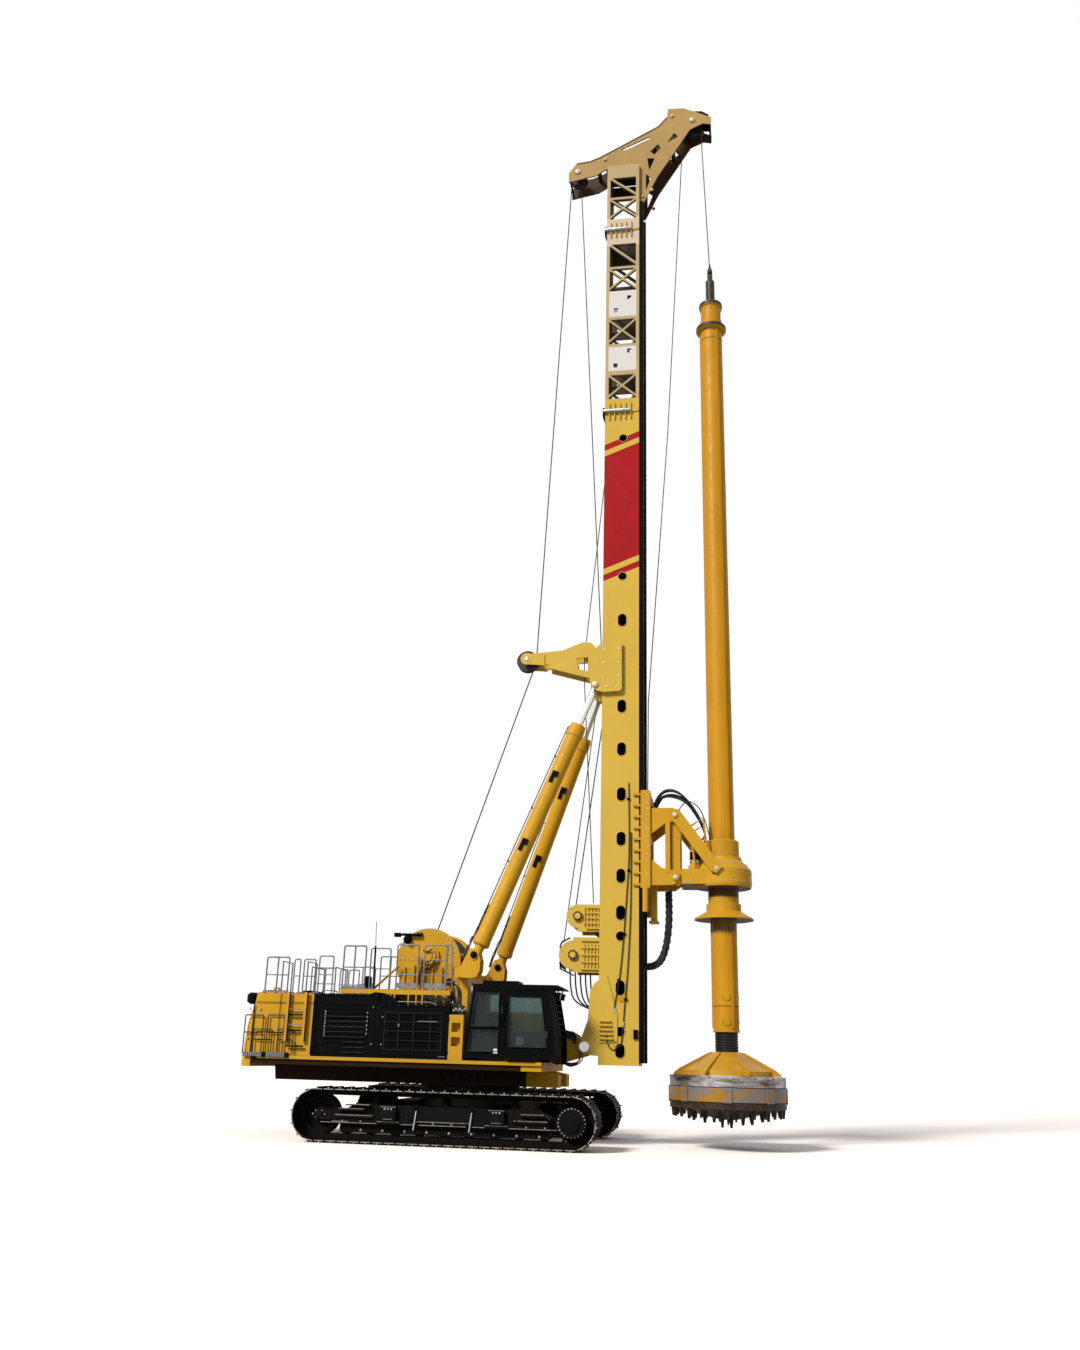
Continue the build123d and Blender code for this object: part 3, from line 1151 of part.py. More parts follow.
# ================================================================ carriage and drive
def carriage():
    """Sled on the mast rails with the link arms that hold the rotary drive."""
    sled_face = RAIL_FRONT + SLED_PLATE
    with BuildPart() as frame:
        for s in (-1, 1):
            gib = MAST_HALF + CLEAR
            block((RAIL_FRONT + RUN, sled_face), (s * 300, s * SLED_HALF), (SLED_BOTTOM, SLED_TOP))
            block((CLAW_X[1], RAIL_FRONT + RUN), (s * gib, s * SLED_HALF), (SLED_BOTTOM, SLED_TOP))
            for n in range(CLAW_COUNT):
                z = SLED_BOTTOM + 60 + n * (SLED_TOP - SLED_BOTTOM - 120 - CLAW_H) / (CLAW_COUNT - 1)
                block(CLAW_X, (s * gib, s * (gib + SLED_WALL / 2)), (z, z + CLAW_H))
            bar_upright(4060, s * (MAST_HALF + 85), 70, (5050, SLED_BOTTOM))
            plate(
                (s * LINK_IN, s * LINK_OUT),
                (
                    (sled_face, 7470), (4700, 7470), (4830, 7400), (4860, 7270), (4800, 7170),
                    (4520, 7110), (sled_face, 6830),
                ),
            )
            plate(
                (s * LINK_IN, s * LINK_OUT),
                (
                    (sled_face, 6290), (4440, 6060), (4690, 6010), (4840, 5950), (4850, 5780),
                    (4690, 5670), (sled_face, 5660),
                ),
            )
            block((4520, 4630), (s * (LINK_IN - 10), s * (LINK_OUT + 10)), (5950, 7150))
            block((4660, 4860), (s * POST_IN, s * (LINK_IN - 10)), (5850, 7250))
            plate(
                (s * BRACE_Y, s * (BRACE_Y + BRACE_T)),
                ((4690, 7420), (4850, 7400), (5830, 6060), (5690, 5920), (5560, 5980), (4640, 7230)),
            )
            bar_across(LINK_X, LINK_TOP_Z, PIN_R, (s * POST_IN, s * (BRACE_Y + BRACE_T + 25)))
            bar_across(LINK_X, LINK_LOW_Z, PIN_R, (s * POST_IN, s * (LINK_OUT + 40)))
        for z in (SLED_BOTTOM, 6700, SLED_TOP - 250):
            block((RAIL_FRONT + RUN, sled_face), (-300, 300), (z, z + 250))
        for z in (5700, 7150):
            block((sled_face, 4300), (-LINK_IN, LINK_IN), (z, z + 160))
        block((4110, 4330), (-200, 200), (4850, 4890))
        block((4150, 4290), (-120, 120), (4890, 5700))
        block((sled_face, 4300), (-120, 120), (5600, 5750))
    save(frame, "carriage_frame")
    with BuildPart() as gearbox:
        turned(
            KELLY_X, 0,
            (
                (SLEEVE_R + CLEAR, GEAR_BOTTOM), (GEAR_R - 20, GEAR_BOTTOM),
                (GEAR_R, GEAR_BOTTOM + 60), (GEAR_R, GEAR_DECK + 30), (GEAR_R - 60, GEAR_DECK + 110),
                (SLEEVE_R + 98, COLLAR_Z - 80), (SLEEVE_R + 78, COLLAR_Z), (SLEEVE_R + CLEAR, COLLAR_Z),
            ),
        )
        arm = LINK_IN - 10
        block((4860, 5400), (-arm, arm), (5700, GEAR_DECK))
        for s in (-1, 1):
            block((5590, 5780), (s * (arm + 75), s * BRACE_Y), (5930, 6080))
            block((4890, 5900), (s * arm, s * (arm + 75)), (5700, GEAR_DECK + 10))
        bar_upright(KELLY_X, 0, SLEEVE_R + CLEAR, (GEAR_BOTTOM - 1, COLLAR_Z + 1), mode=Mode.SUBTRACT)
        for y in (-MOTOR_Y, MOTOR_Y):
            bar_upright(MOTOR_X, y, 150, (GEAR_DECK, GEAR_DECK + 120))
            bar_upright(MOTOR_X, y, 110, (GEAR_DECK + 120, GEAR_DECK + 450))
        bar_upright(MOTOR_X, 0, 120, (GEAR_DECK, GEAR_DECK + 270))
    save(gearbox, "rotary_gearbox")
    with BuildPart() as sleeve:
        turned(
            KELLY_X, 0,
            (
                (SLEEVE_IN, CONE_Z), (CONE_R, CONE_Z), (CONE_R, CONE_Z + 30), (SLEEVE_R + 78, CONE_Z + 180),
                (SLEEVE_R + 48, CONE_Z + 200), (SLEEVE_R + 48, CONE_Z + 360), (SLEEVE_R, CONE_Z + 380),
                (SLEEVE_R, COLLAR_Z + RUN), (SLEEVE_R + 33, COLLAR_Z + RUN),
                (SLEEVE_R + 33, SLEEVE_TOP - 30), (SLEEVE_R + 8, SLEEVE_TOP), (SLEEVE_IN, SLEEVE_TOP),
            ),
        )
        with Locations((SLEW_X + KELLY_X, 0, CONE_Z)):
            with PolarLocations(FLANGE_PCD / 2, 16):
                Cylinder(FLANGE_BOLT_R, 80, mode=Mode.SUBTRACT)
    save(sleeve, "drive_sleeve")


def kelly():
    """Kelly bar with its driving keys, its swivel, and the drilling bucket."""
    with BuildPart() as bar:
        bar_upright(KELLY_X, 0, KELLY_R, (KELLY_BOTTOM, KELLY_NECK))
        with BuildSketch(Plane(origin=(SLEW_X + KELLY_X, 0, KELLY_BOTTOM + 60))) as keys:
            with PolarLocations(KELLY_R, 3, start_angle=60):
                Rectangle(2 * KEY_H, KEY_W)
        extrude(keys.sketch, amount=STOP_Z - KELLY_BOTTOM - 60)
        rim, high = KELLY_R + 110, STOP_Z + STOP_H
        turned(
            KELLY_X, 0,
            (
                (0, STOP_Z), (rim - 60, STOP_Z), (rim, STOP_Z + 40), (rim, high - 40),
                (rim - 60, high), (0, high),
            ),
        )
        turned(
            KELLY_X, 0,
            (
                (0, KELLY_NECK), (KELLY_R - 20, KELLY_NECK), (KELLY_R - 20, KELLY_TOP - 180),
                (KELLY_R + 20, KELLY_TOP - 140), (KELLY_R + 20, KELLY_TOP - 40),
                (KELLY_R - 40, KELLY_TOP), (0, KELLY_TOP),
            ),
        )
        bar_upright(KELLY_X, 0, STUB_R, (BUCKET_TOP, KELLY_BOTTOM))
    save(bar, "kelly_bar")
    with BuildPart() as swivel:
        turned(
            KELLY_X, 0,
            (
                (0, KELLY_TOP + RUN), (TOP_SWIVEL_R, KELLY_TOP + RUN),
                (TOP_SWIVEL_R, ROPE_EYE_Z - 320), (TOP_SWIVEL_R / 2, ROPE_EYE_Z - 240),
                (TOP_SWIVEL_R / 2, ROPE_EYE_Z - 180), (0, ROPE_EYE_Z - 180),
            ),
        )
        block((KELLY_X - 70, KELLY_X + 70), (-30, 30), (ROPE_EYE_Z - 240, ROPE_EYE_Z + 60))
        bar_across(KELLY_X, ROPE_EYE_Z, ROPE_EYE_R, (-31, 31), mode=Mode.SUBTRACT)
    save(swivel, "kelly_swivel")
    with BuildPart() as bucket:
        barrel = BUCKET_R - PAD_T
        inner = barrel - BUCKET_WALL
        turned(
            KELLY_X, 0,
            (
                (0, BUCKET_TOP), (CONE_TOP_R, BUCKET_TOP), (CONE_LOW_R, BUCKET_RIM + 110),
                (CONE_LOW_R + 10, BUCKET_RIM), (barrel, BUCKET_RIM), (barrel, BUCKET_BOTTOM),
                (BUCKET_R - CONE_IN, BUCKET_BOTTOM), (CONE_TIP_R, CONE_TIP_Z), (0, CONE_TIP_Z),
            ),
        )
        turned(
            KELLY_X, 0,
            (
                (0, BUCKET_TOP - 90), (CONE_TOP_R, BUCKET_TOP - 90), (CONE_LOW_R - 50, BUCKET_RIM + 30),
                (CONE_LOW_R - 50, BUCKET_RIM - 60), (inner, BUCKET_RIM - 60), (inner, BUCKET_BOTTOM + 60),
                (0, CONE_TIP_Z + 90),
            ),
            mode=Mode.SUBTRACT,
        )
        for turn in (0, 180):
            with BuildSketch(Plane(origin=(SLEW_X + KELLY_X, 0, 600))) as mouth:
                with Locations(Location((0, 0, 0), (0, 0, turn))):
                    with Locations((620, 260)):
                        Rectangle(800, 320)
            extrude(mouth.sketch, amount=300, mode=Mode.SUBTRACT)
        for radius, count in TOOTH_RINGS:
            for n in range(count):
                angle = 360 * (n + 0.5) / count
                x, y = radius * cos(radians(angle)), radius * sin(radians(angle))
                across = y if x > 0 else -y
                in_mouth = MOUTH_X[0] < abs(x) < MOUTH_X[1] and MOUTH_Y[0] < across < MOUTH_Y[1]
                if not in_mouth:
                    tooth(x, y, angle)
        for n in range(PADS):
            with Locations(Location((SLEW_X + KELLY_X, 0, 0), (0, 0, 360 * n / PADS))):
                with Locations((BUCKET_R - PAD_T, 0, (BUCKET_RIM + BUCKET_BOTTOM) / 2 - 60)):
                    Box(2 * PAD_T, 190, 330)
        for n in range(WEBS):
            cone_web(360 * (n + 0.5) / WEBS)
    save(bucket, "drilling_bucket")


def cone_web(turn):
    """Upright web from the neck of the bucket down its conical top to the rim."""
    across, along = cos(radians(turn)), sin(radians(turn))
    centre = Plane(origin=(SLEW_X + KELLY_X, 0, 0), x_dir=(across, along, 0), z_dir=(along, -across, 0))
    with BuildSketch(centre.offset(-WEB_T / 2)) as web:
        with BuildLine():
            Polyline(
                (STUB_R - 20, BUCKET_TOP - 20), (STUB_R - 20, BUCKET_TOP - CLEAR / 2),
                (CONE_TOP_R + 70, BUCKET_TOP - CLEAR / 2), (CONE_LOW_R + 60, BUCKET_RIM + 150),
                (BUCKET_R - PAD_T - 20, BUCKET_RIM + 50), (BUCKET_R - PAD_T - 20, BUCKET_RIM - 10),
                (CONE_LOW_R, BUCKET_RIM - 10), (CONE_LOW_R, BUCKET_RIM + 90), (CONE_TOP_R, BUCKET_TOP - 20),
                close=True,
            )
        make_face()
    extrude(web.sketch, amount=WEB_T)


def tooth(x, y, turn):
    """Tapered tooth under the bucket's conical bottom plate."""
    radius = (x**2 + y**2) ** 0.5
    slope = (BUCKET_BOTTOM - CONE_TIP_Z) / (BUCKET_R - CONE_IN - CONE_TIP_R)
    top = CONE_TIP_Z + max(radius - CONE_TIP_R, 0) * slope + TOOTH_ROOT
    with BuildSketch(Plane(origin=(SLEW_X + KELLY_X + x, y, top), z_dir=(0, 0, -1))) as root:
        Rectangle(95, 75, rotation=-turn)
    extrude(root.sketch, amount=TOOTH_ROOT + TOOTH_L, taper=6)


def make_all():
    os.makedirs("parts", exist_ok=True)
    tracks()
    track_frames()
    track_wheels()
    car_body()
    deck_frame()
    counterweight()
    engine_house()
    engine_doors()
    side_boxes()
    cab()
    winch_platform()
    main_winch()
    towers()
    mast_box()
    mast_lattice()
    mast_foot()
    cylinder_bracket()
    mast_winches()
    crown()
    luffing_cylinders()
    carriage()
    kelly()


make_all()
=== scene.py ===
"""Looks of the rotary piling rig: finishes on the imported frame, and its ropes, rails, pipes and bolts."""

import json
import math

import bpy
from mathutils import Matrix, Vector


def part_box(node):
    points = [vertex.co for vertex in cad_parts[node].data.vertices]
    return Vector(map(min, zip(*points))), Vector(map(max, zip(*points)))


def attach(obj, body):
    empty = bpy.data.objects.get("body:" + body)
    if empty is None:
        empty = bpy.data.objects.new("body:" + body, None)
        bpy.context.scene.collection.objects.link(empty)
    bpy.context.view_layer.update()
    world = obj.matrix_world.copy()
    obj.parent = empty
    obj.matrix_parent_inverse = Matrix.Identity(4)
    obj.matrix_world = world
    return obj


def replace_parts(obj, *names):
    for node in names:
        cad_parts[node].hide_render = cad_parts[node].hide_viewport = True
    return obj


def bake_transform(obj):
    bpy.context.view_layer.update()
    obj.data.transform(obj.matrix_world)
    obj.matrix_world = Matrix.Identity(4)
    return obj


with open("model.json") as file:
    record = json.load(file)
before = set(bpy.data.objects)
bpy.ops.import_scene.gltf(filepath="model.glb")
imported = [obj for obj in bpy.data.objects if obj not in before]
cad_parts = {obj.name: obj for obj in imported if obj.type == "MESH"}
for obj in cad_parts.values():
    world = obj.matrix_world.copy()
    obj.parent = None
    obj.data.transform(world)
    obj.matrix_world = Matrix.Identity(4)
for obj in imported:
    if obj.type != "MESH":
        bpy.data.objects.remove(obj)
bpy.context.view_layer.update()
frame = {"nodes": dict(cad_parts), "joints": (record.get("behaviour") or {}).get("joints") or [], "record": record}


# ---------------------------------------------------------------- places from the frame
def middle_x(node):
    low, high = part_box(node)
    return (low[0] + high[0]) / 2


SLEW = middle_x("slew_ring_lower")  # all stations below are measured from the slewing axis


def span(node):
    """Lowest and highest corner of a node, with x as a station."""
    low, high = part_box(node)
    return Vector((low[0] - SLEW, low[1], low[2])), Vector((high[0] - SLEW, high[1], high[2]))


HOUSE = span("engine_house")
HOOD = span("rear_hood")
WEIGHT = span("counterweight")
DECK = span("deck_frame")
CAB = span("cab_shell")
PLATFORM = span("winch_platform")
MAST = span("mast_box")
LATTICE = span("mast_lattice")
CROWN = span("crown_frame")
ARM = span("pulley_arm")
KELLY = span("kelly_bar")
BUCKET = span("drilling_bucket")
SLED = span("carriage_frame")
DRUM = span("main_winch_drum")
TRACK = span("track_left")
SIDES = (-1, 1)  # near and far side
SIDE = HOUSE[1].y  # half the width of the upper works
ROOF = HOUSE[1].z
FLOOR = DECK[1].z  # upper face of the deck
WALK = PLATFORM[1].z  # upper face of the winch platform
DRILL_X = (KELLY[0].x + KELLY[1].x) / 2
DRUM_X = (DRUM[0].x + DRUM[1].x) / 2
DRUM_Z = (DRUM[0].z + DRUM[1].z) / 2
TRACK_Y = (TRACK[0].y + TRACK[1].y) / 2
WHEEL_Z = TRACK[1].z / 2
WHEEL_X = TRACK[1].x - WHEEL_Z


# ---------------------------------------------------------------- finishes
YELLOW = (0.60, 0.305, 0.012)
MAST_YELLOW = (0.63, 0.40, 0.05)
DUST = (0.42, 0.25, 0.07)
# brown mud on the tracks; inside the lattice it is painted shade
MUD_AND_SHADE = (0.060, 0.034, 0.018)
RUST = (0.16, 0.07, 0.02)
BLACK = (0.0032, 0.0034, 0.0036)
# painted shade: the deck's yellow paint as it looks in shade
DECK_SHADE_BROWN = (0.022, 0.008, 0.002)
BAND_SLOPE = 0.40  # rise of the red band over its run
BAND_REDS = ((13.33, 13.50), (13.66, 16.88), (17.04, 17.22))  # heights at the rear edge of the mast
LATTICE_PANELS = ((19.46, 20.21), (21.17, 22.0))  # heights of the pale plates between the braces
BUCKET_RIM = 1.54  # upper edge of the bucket's steel band
BUCKET_JOINT = BUCKET_RIM - 0.235  # seam between the steel band and the rusty one
BUCKET_LOW = 1.00  # below it the shell is dark with soil


class Nodes:
    """Short way to write a node material."""

    def __init__(self, name):
        self.material = bpy.data.materials.new(name)
        self.material.use_nodes = True
        self.tree = self.material.node_tree
        self.shader = self.tree.nodes["Principled BSDF"]
        self.place = self.add("ShaderNodeTexCoord").outputs["Object"]

    def add(self, kind, **values):
        node = self.tree.nodes.new(kind)
        for key, value in values.items():
            setattr(node, key, value)
        return node

    def link(self, source, target):
        self.tree.links.new(source, target)

    def set(self, values):
        for name, value in values.items():
            self.shader.inputs[name].default_value = value

    def noise(self, scale, detail=5.0, stretch=(1, 1, 1), rough=0.6):
        mapping = self.add("ShaderNodeMapping")
        mapping.inputs["Scale"].default_value = stretch
        self.link(self.place, mapping.inputs["Vector"])
        noise = self.add("ShaderNodeTexNoise")
        noise.inputs["Scale"].default_value = scale
        noise.inputs["Detail"].default_value = detail
        noise.inputs["Roughness"].default_value = rough
        self.link(mapping.outputs["Vector"], noise.inputs["Vector"])
        return noise.outputs["Fac"]

    def ramp(self, source, low, high, low_value=0.0, high_value=1.0):
        remap = self.add("ShaderNodeMapRange")
        limits = {"From Min": low, "From Max": high, "To Min": low_value, "To Max": high_value}
        for name, value in limits.items():
            remap.inputs[name].default_value = value
        self.link(source, remap.inputs["Value"])
        return remap.outputs["Result"]

    def maths(self, operation, a, b=None):
        node = self.add("ShaderNodeMath", operation=operation)
        for socket, value in zip(node.inputs, (a, b)):
            if isinstance(value, (int, float)):
                socket.default_value = value
            elif value is not None:
                self.link(value, socket)
        return node.outputs["Value"]

    def times(self, a, b):
        return self.maths("MULTIPLY", a, b)

    def mix(self, share, a, b):
        """Colour a where share is 0 and b where it is 1."""
        node = self.add("ShaderNodeMix", data_type="RGBA")
        for socket, value in ((node.inputs[6], a), (node.inputs[7], b)):
            if isinstance(value, tuple):
                socket.default_value = (*value, 1)
            else:
                self.link(value, socket)
        self.link(share, node.inputs[0])
        return node.outputs[2]

    def patches(self, a, b, noise, low=0.3, high=0.7):
        """Colour that goes from a to b in patches."""
        return self.mix(self.ramp(noise, low, high), a, b)

    def axis(self, name):
        split = self.add("ShaderNodeSeparateXYZ")
        self.link(self.place, split.inputs["Vector"])
        return split.outputs[name]

    def facing(self, name):
        """How far a face looks along an axis."""
        split = self.add("ShaderNodeSeparateXYZ")
        self.link(self.add("ShaderNodeNewGeometry").outputs["Normal"], split.inputs["Vector"])
        return split.outputs[name]

    def bump(self, source, strength, distance):
        bump = self.add("ShaderNodeBump")
        bump.inputs["Strength"].default_value = strength
        bump.inputs["Distance"].default_value = distance
        self.link(source, bump.inputs["Height"])
        self.link(bump.outputs["Normal"], self.shader.inputs["Normal"])

    def colour(self, source):
        self.link(source, self.shader.inputs["Base Color"])

    def gloss(self, noise, low, high, smooth, dull):
        """Roughness that goes from smooth to dull in patches."""
        self.link(self.ramp(noise, low, high, smooth, dull), self.shader.inputs["Roughness"])


def shade(colour, share):
    return tuple(c * share for c in colour)


def painted(name, colour, dust=DUST, dusty=0.35, gloss=0.42, chips=None, zones=(), deep=0.84, shine=0.15):
    """Machine paint: slight tone changes, rain streaks and chips, with other colours in the zones given."""
    m = Nodes(name)
    base = m.patches(colour, shade(colour, deep), m.noise(0.9, 6))
    streaks = m.ramp(m.noise(5.0, 7, (3.0, 3.0, 0.28)), 0.52, 0.80, 0.0, dusty)
    base = m.mix(streaks, base, dust)
    if chips:
        base = m.patches(base, chips, m.noise(13.0, 10, rough=0.75), 0.675, 0.70)
    for share, other in zones:
        base = m.mix(share(m), base, other)
    m.colour(base)
    m.gloss(m.noise(6.0, 5), 0.3, 0.7, gloss - 0.08, gloss + 0.2)
    m.bump(m.noise(60.0, 4), 0.08, 0.002)
    m.set({"Specular IOR Level": shine})
    return m.material


def within(axis, low=None, high=None, soft=0.006):
    """Share of a place inside limits along an axis; limits along X are stations."""
    shift = SLEW if axis == "X" else 0.0

    def share(m):
        place = m.axis(axis)
        parts = []
        if low is not None:
            parts.append(m.ramp(place, low + shift - soft, low + shift + soft))
        if high is not None:
            parts.append(m.ramp(place, high + shift - soft, high + shift + soft, 1.0, 0.0))
        return parts[0] if len(parts) == 1 else m.times(*parts)

    return share


def both(first, second):
    """Share of a place that is in two zones at once."""
    return lambda m: m.times(first(m), second(m))


def painted_underside_shade(m):
    """Share that is 1 on faces that look down, to paint shade on them."""
    return m.maths("LESS_THAN", m.facing("Z"), -0.5)


def inside_of(box, wall):
    """Share of a place deeper inside a node's box than its wall, along X and Y."""
    low, high = box
    return both(within("X", low.x + wall, high.x - wall), within("Y", low.y + wall, high.y - wall))


def bucket_finish(name):
    """Bucket: yellow conical top, scuffed steel band, rusty lower band and a bottom dark with soil."""
    m = Nodes(name)
    yellow = m.patches((0.52, 0.27, 0.012), (0.34, 0.15, 0.01), m.noise(1.6, 6))
    yellow = m.patches(yellow, (0.06, 0.035, 0.02), m.noise(6.0, 9, rough=0.75), 0.60, 0.68)
    steel = m.patches((0.50, 0.48, 0.47), (0.13, 0.075, 0.05), m.noise(1.8, 8, (1, 1, 5)), 0.42, 0.62)
    rust = m.patches((0.22, 0.18, 0.17), (0.38, 0.18, 0.02), m.noise(1.5, 6, (1, 1, 2)), 0.47, 0.55)
    soil = m.patches((0.020, 0.011, 0.006), (0.07, 0.035, 0.018), m.noise(9.0, 8), 0.4, 0.7)
    steel_band = within("Z", BUCKET_JOINT, BUCKET_RIM)(m)
    rusty_band = within("Z", BUCKET_LOW, BUCKET_JOINT)(m)
    base = m.mix(steel_band, yellow, steel)
    base = m.mix(rusty_band, base, rust)
    m.colour(m.mix(within("Z", None, BUCKET_LOW)(m), base, soil))
    metal = m.maths("MAXIMUM", steel_band, m.times(rusty_band, 0.4))
    m.link(m.times(metal, 0.85), m.shader.inputs["Metallic"])
    m.gloss(m.noise(4.0, 7, (1, 1, 4)), 0.3, 0.7, 0.26, 0.55)
    m.bump(m.noise(35.0, 6), 0.25, 0.004)
    m.set({"Specular IOR Level": 0.25})
    return m.material


def bare_metal(name, colour, second, rough=0.45, metallic=0.9, scale=4.0, stretch=(1, 1, 1), pits=0.2):
    """Metal with stains, brushed or scuffed along the stretched axis."""
    m = Nodes(name)
    m.colour(m.patches(colour, second, m.noise(scale, 9, stretch, 0.7), 0.38, 0.66))
    m.gloss(m.noise(scale * 2.5, 8, stretch), 0.3, 0.7, rough - 0.12, rough + 0.18)
    m.bump(m.noise(scale * 14, 6), pits, 0.004)
    m.set({"Metallic": metallic, "Specular IOR Level": 0.3})
    return m.material


def rubber(name):
    """Hose rubber with a little dust."""
    m = Nodes(name)
    m.colour(m.patches((0.010, 0.010, 0.011), (0.045, 0.04, 0.035), m.noise(14.0, 6), 0.45, 0.8))
    m.gloss(m.noise(20.0, 5), 0.3, 0.7, 0.5, 0.75)
    m.bump(m.noise(120.0, 3), 0.15, 0.001)
    m.set({"Specular IOR Level": 0.25})
    return m.material


def banded(name, colour):
    """Mast paint with a red band across both side walls, told apart by the wall's normal and the height."""
    m = Nodes(name)
    on_side = m.maths("GREATER_THAN", m.maths("ABSOLUTE", m.facing("Y")), 0.9)
    ahead = m.maths("SUBTRACT", m.axis("X"), MAST[0].x + SLEW)
    height = m.maths("SUBTRACT", m.axis("Z"), m.times(ahead, BAND_SLOPE))
    base = m.patches(colour, shade(colour, 0.88), m.noise(0.9, 6))
    red = m.patches((0.38, 0.0015, 0.002), (0.31, 0.001, 0.0015), m.noise(1.5, 6))
    dust = m.ramp(m.noise(5.0, 7, (3.0, 3.0, 0.28)), 0.58, 0.82, 0.0, 0.3)
    base = m.mix(dust, base, DUST)
    for low, high in BAND_REDS:
        band = m.times(m.maths("GREATER_THAN", height, low), m.maths("LESS_THAN", height, high))
        base = m.mix(m.times(on_side, band), base, red)
    m.colour(base)
    m.gloss(m.noise(6.0, 5), 0.3, 0.7, 0.38, 0.62)
    m.bump(m.noise(60.0, 4), 0.07, 0.002)
    m.set({"Specular IOR Level": 0.12})
    return m.material


def tinted_glass(name):
    """Green-grey cab glass."""
    m = Nodes(name)
    m.colour(m.patches((0.27, 0.36, 0.345), (0.21, 0.29, 0.28), m.noise(1.5, 4), 0.35, 0.7))
    m.gloss(m.noise(3.0, 5), 0.4, 0.75, 0.0, 0.05)
    m.set({"Transmission Weight": 0.96, "IOR": 1.3})
    return m.material


def woven(name):
    """Seat cloth."""
    m = Nodes(name)
    m.colour(m.patches((0.03, 0.03, 0.035), (0.055, 0.055, 0.06), m.noise(30.0, 3), 0.4, 0.6))
    m.bump(m.noise(400.0, 2), 0.5, 0.002)
    m.set({"Roughness": 0.9, "Sheen Weight": 0.25})
    return m.material


def rope_steel(name):
    """Wire rope: dark greased strands that wind round the line."""
    m = Nodes(name)
    wave = m.add("ShaderNodeTexWave", wave_type="BANDS", bands_direction="DIAGONAL")
    wave.inputs["Scale"].default_value = 14.0
    wave.inputs["Distortion"].default_value = 0.6
    m.link(m.place, wave.inputs["Vector"])
    m.colour(m.patches((0.012, 0.012, 0.012), (0.09, 0.085, 0.08), wave.outputs["Fac"], 0.25, 0.8))
    m.bump(wave.outputs["Fac"], 0.6, 0.004)
    m.set({"Roughness": 0.5, "Metallic": 0.4})
    return m.material


def tread_plate(name):
    """Walkway plate with raised lozenges."""
    m = Nodes(name)
    mapping = m.add("ShaderNodeMapping")
    mapping.inputs["Rotation"].default_value = (0, 0, math.radians(45))
    m.link(m.place, mapping.inputs["Vector"])
    checks = m.add("ShaderNodeTexVoronoi", feature="F1")
    checks.inputs["Scale"].default_value = 26.0
    checks.inputs["Randomness"].default_value = 0.0
    m.link(mapping.outputs["Vector"], checks.inputs["Vector"])
    studs = m.ramp(checks.outputs["Distance"], 0.25, 0.45, 1.0, 0.0)
    m.colour(m.mix(m.times(studs, 0.6), (0.05, 0.05, 0.055), (0.2, 0.2, 0.21)))
    m.bump(studs, 0.6, 0.004)
    m.set({"Roughness": 0.5, "Metallic": 0.4})
    return m.material


def lamp_lens(name, colour):
    """Clear or coloured lamp cover."""
    m = Nodes(name)
    m.colour(m.patches(colour, shade(colour, 0.8), m.noise(40.0, 2)))
    m.set({"Roughness": 0.12, "Coat Weight": 0.6})
    return m.material


def lattice_zones():
    """Pale plates between the braces, the folding joint's plates and painted shade on the mast's inside."""
    between_chords = within("X", LATTICE[0].x + 0.08, LATTICE[1].x - 0.08)
    zones = [
        (both(within("Z", low, high, 0.02), between_chords), (0.66, 0.60, 0.54))
        for low, high in LATTICE_PANELS
    ]
    zones.append((within("Z", 23.5, 24.45, 0.02), (0.60, 0.46, 0.32)))
    # painted shade: the lattice's inside is dark brown
    zones.append((inside_of(LATTICE, 0.03), MUD_AND_SHADE))
    return zones


def yellow_paint(name, **values):
    return painted(name, YELLOW, chips=RUST, **values)


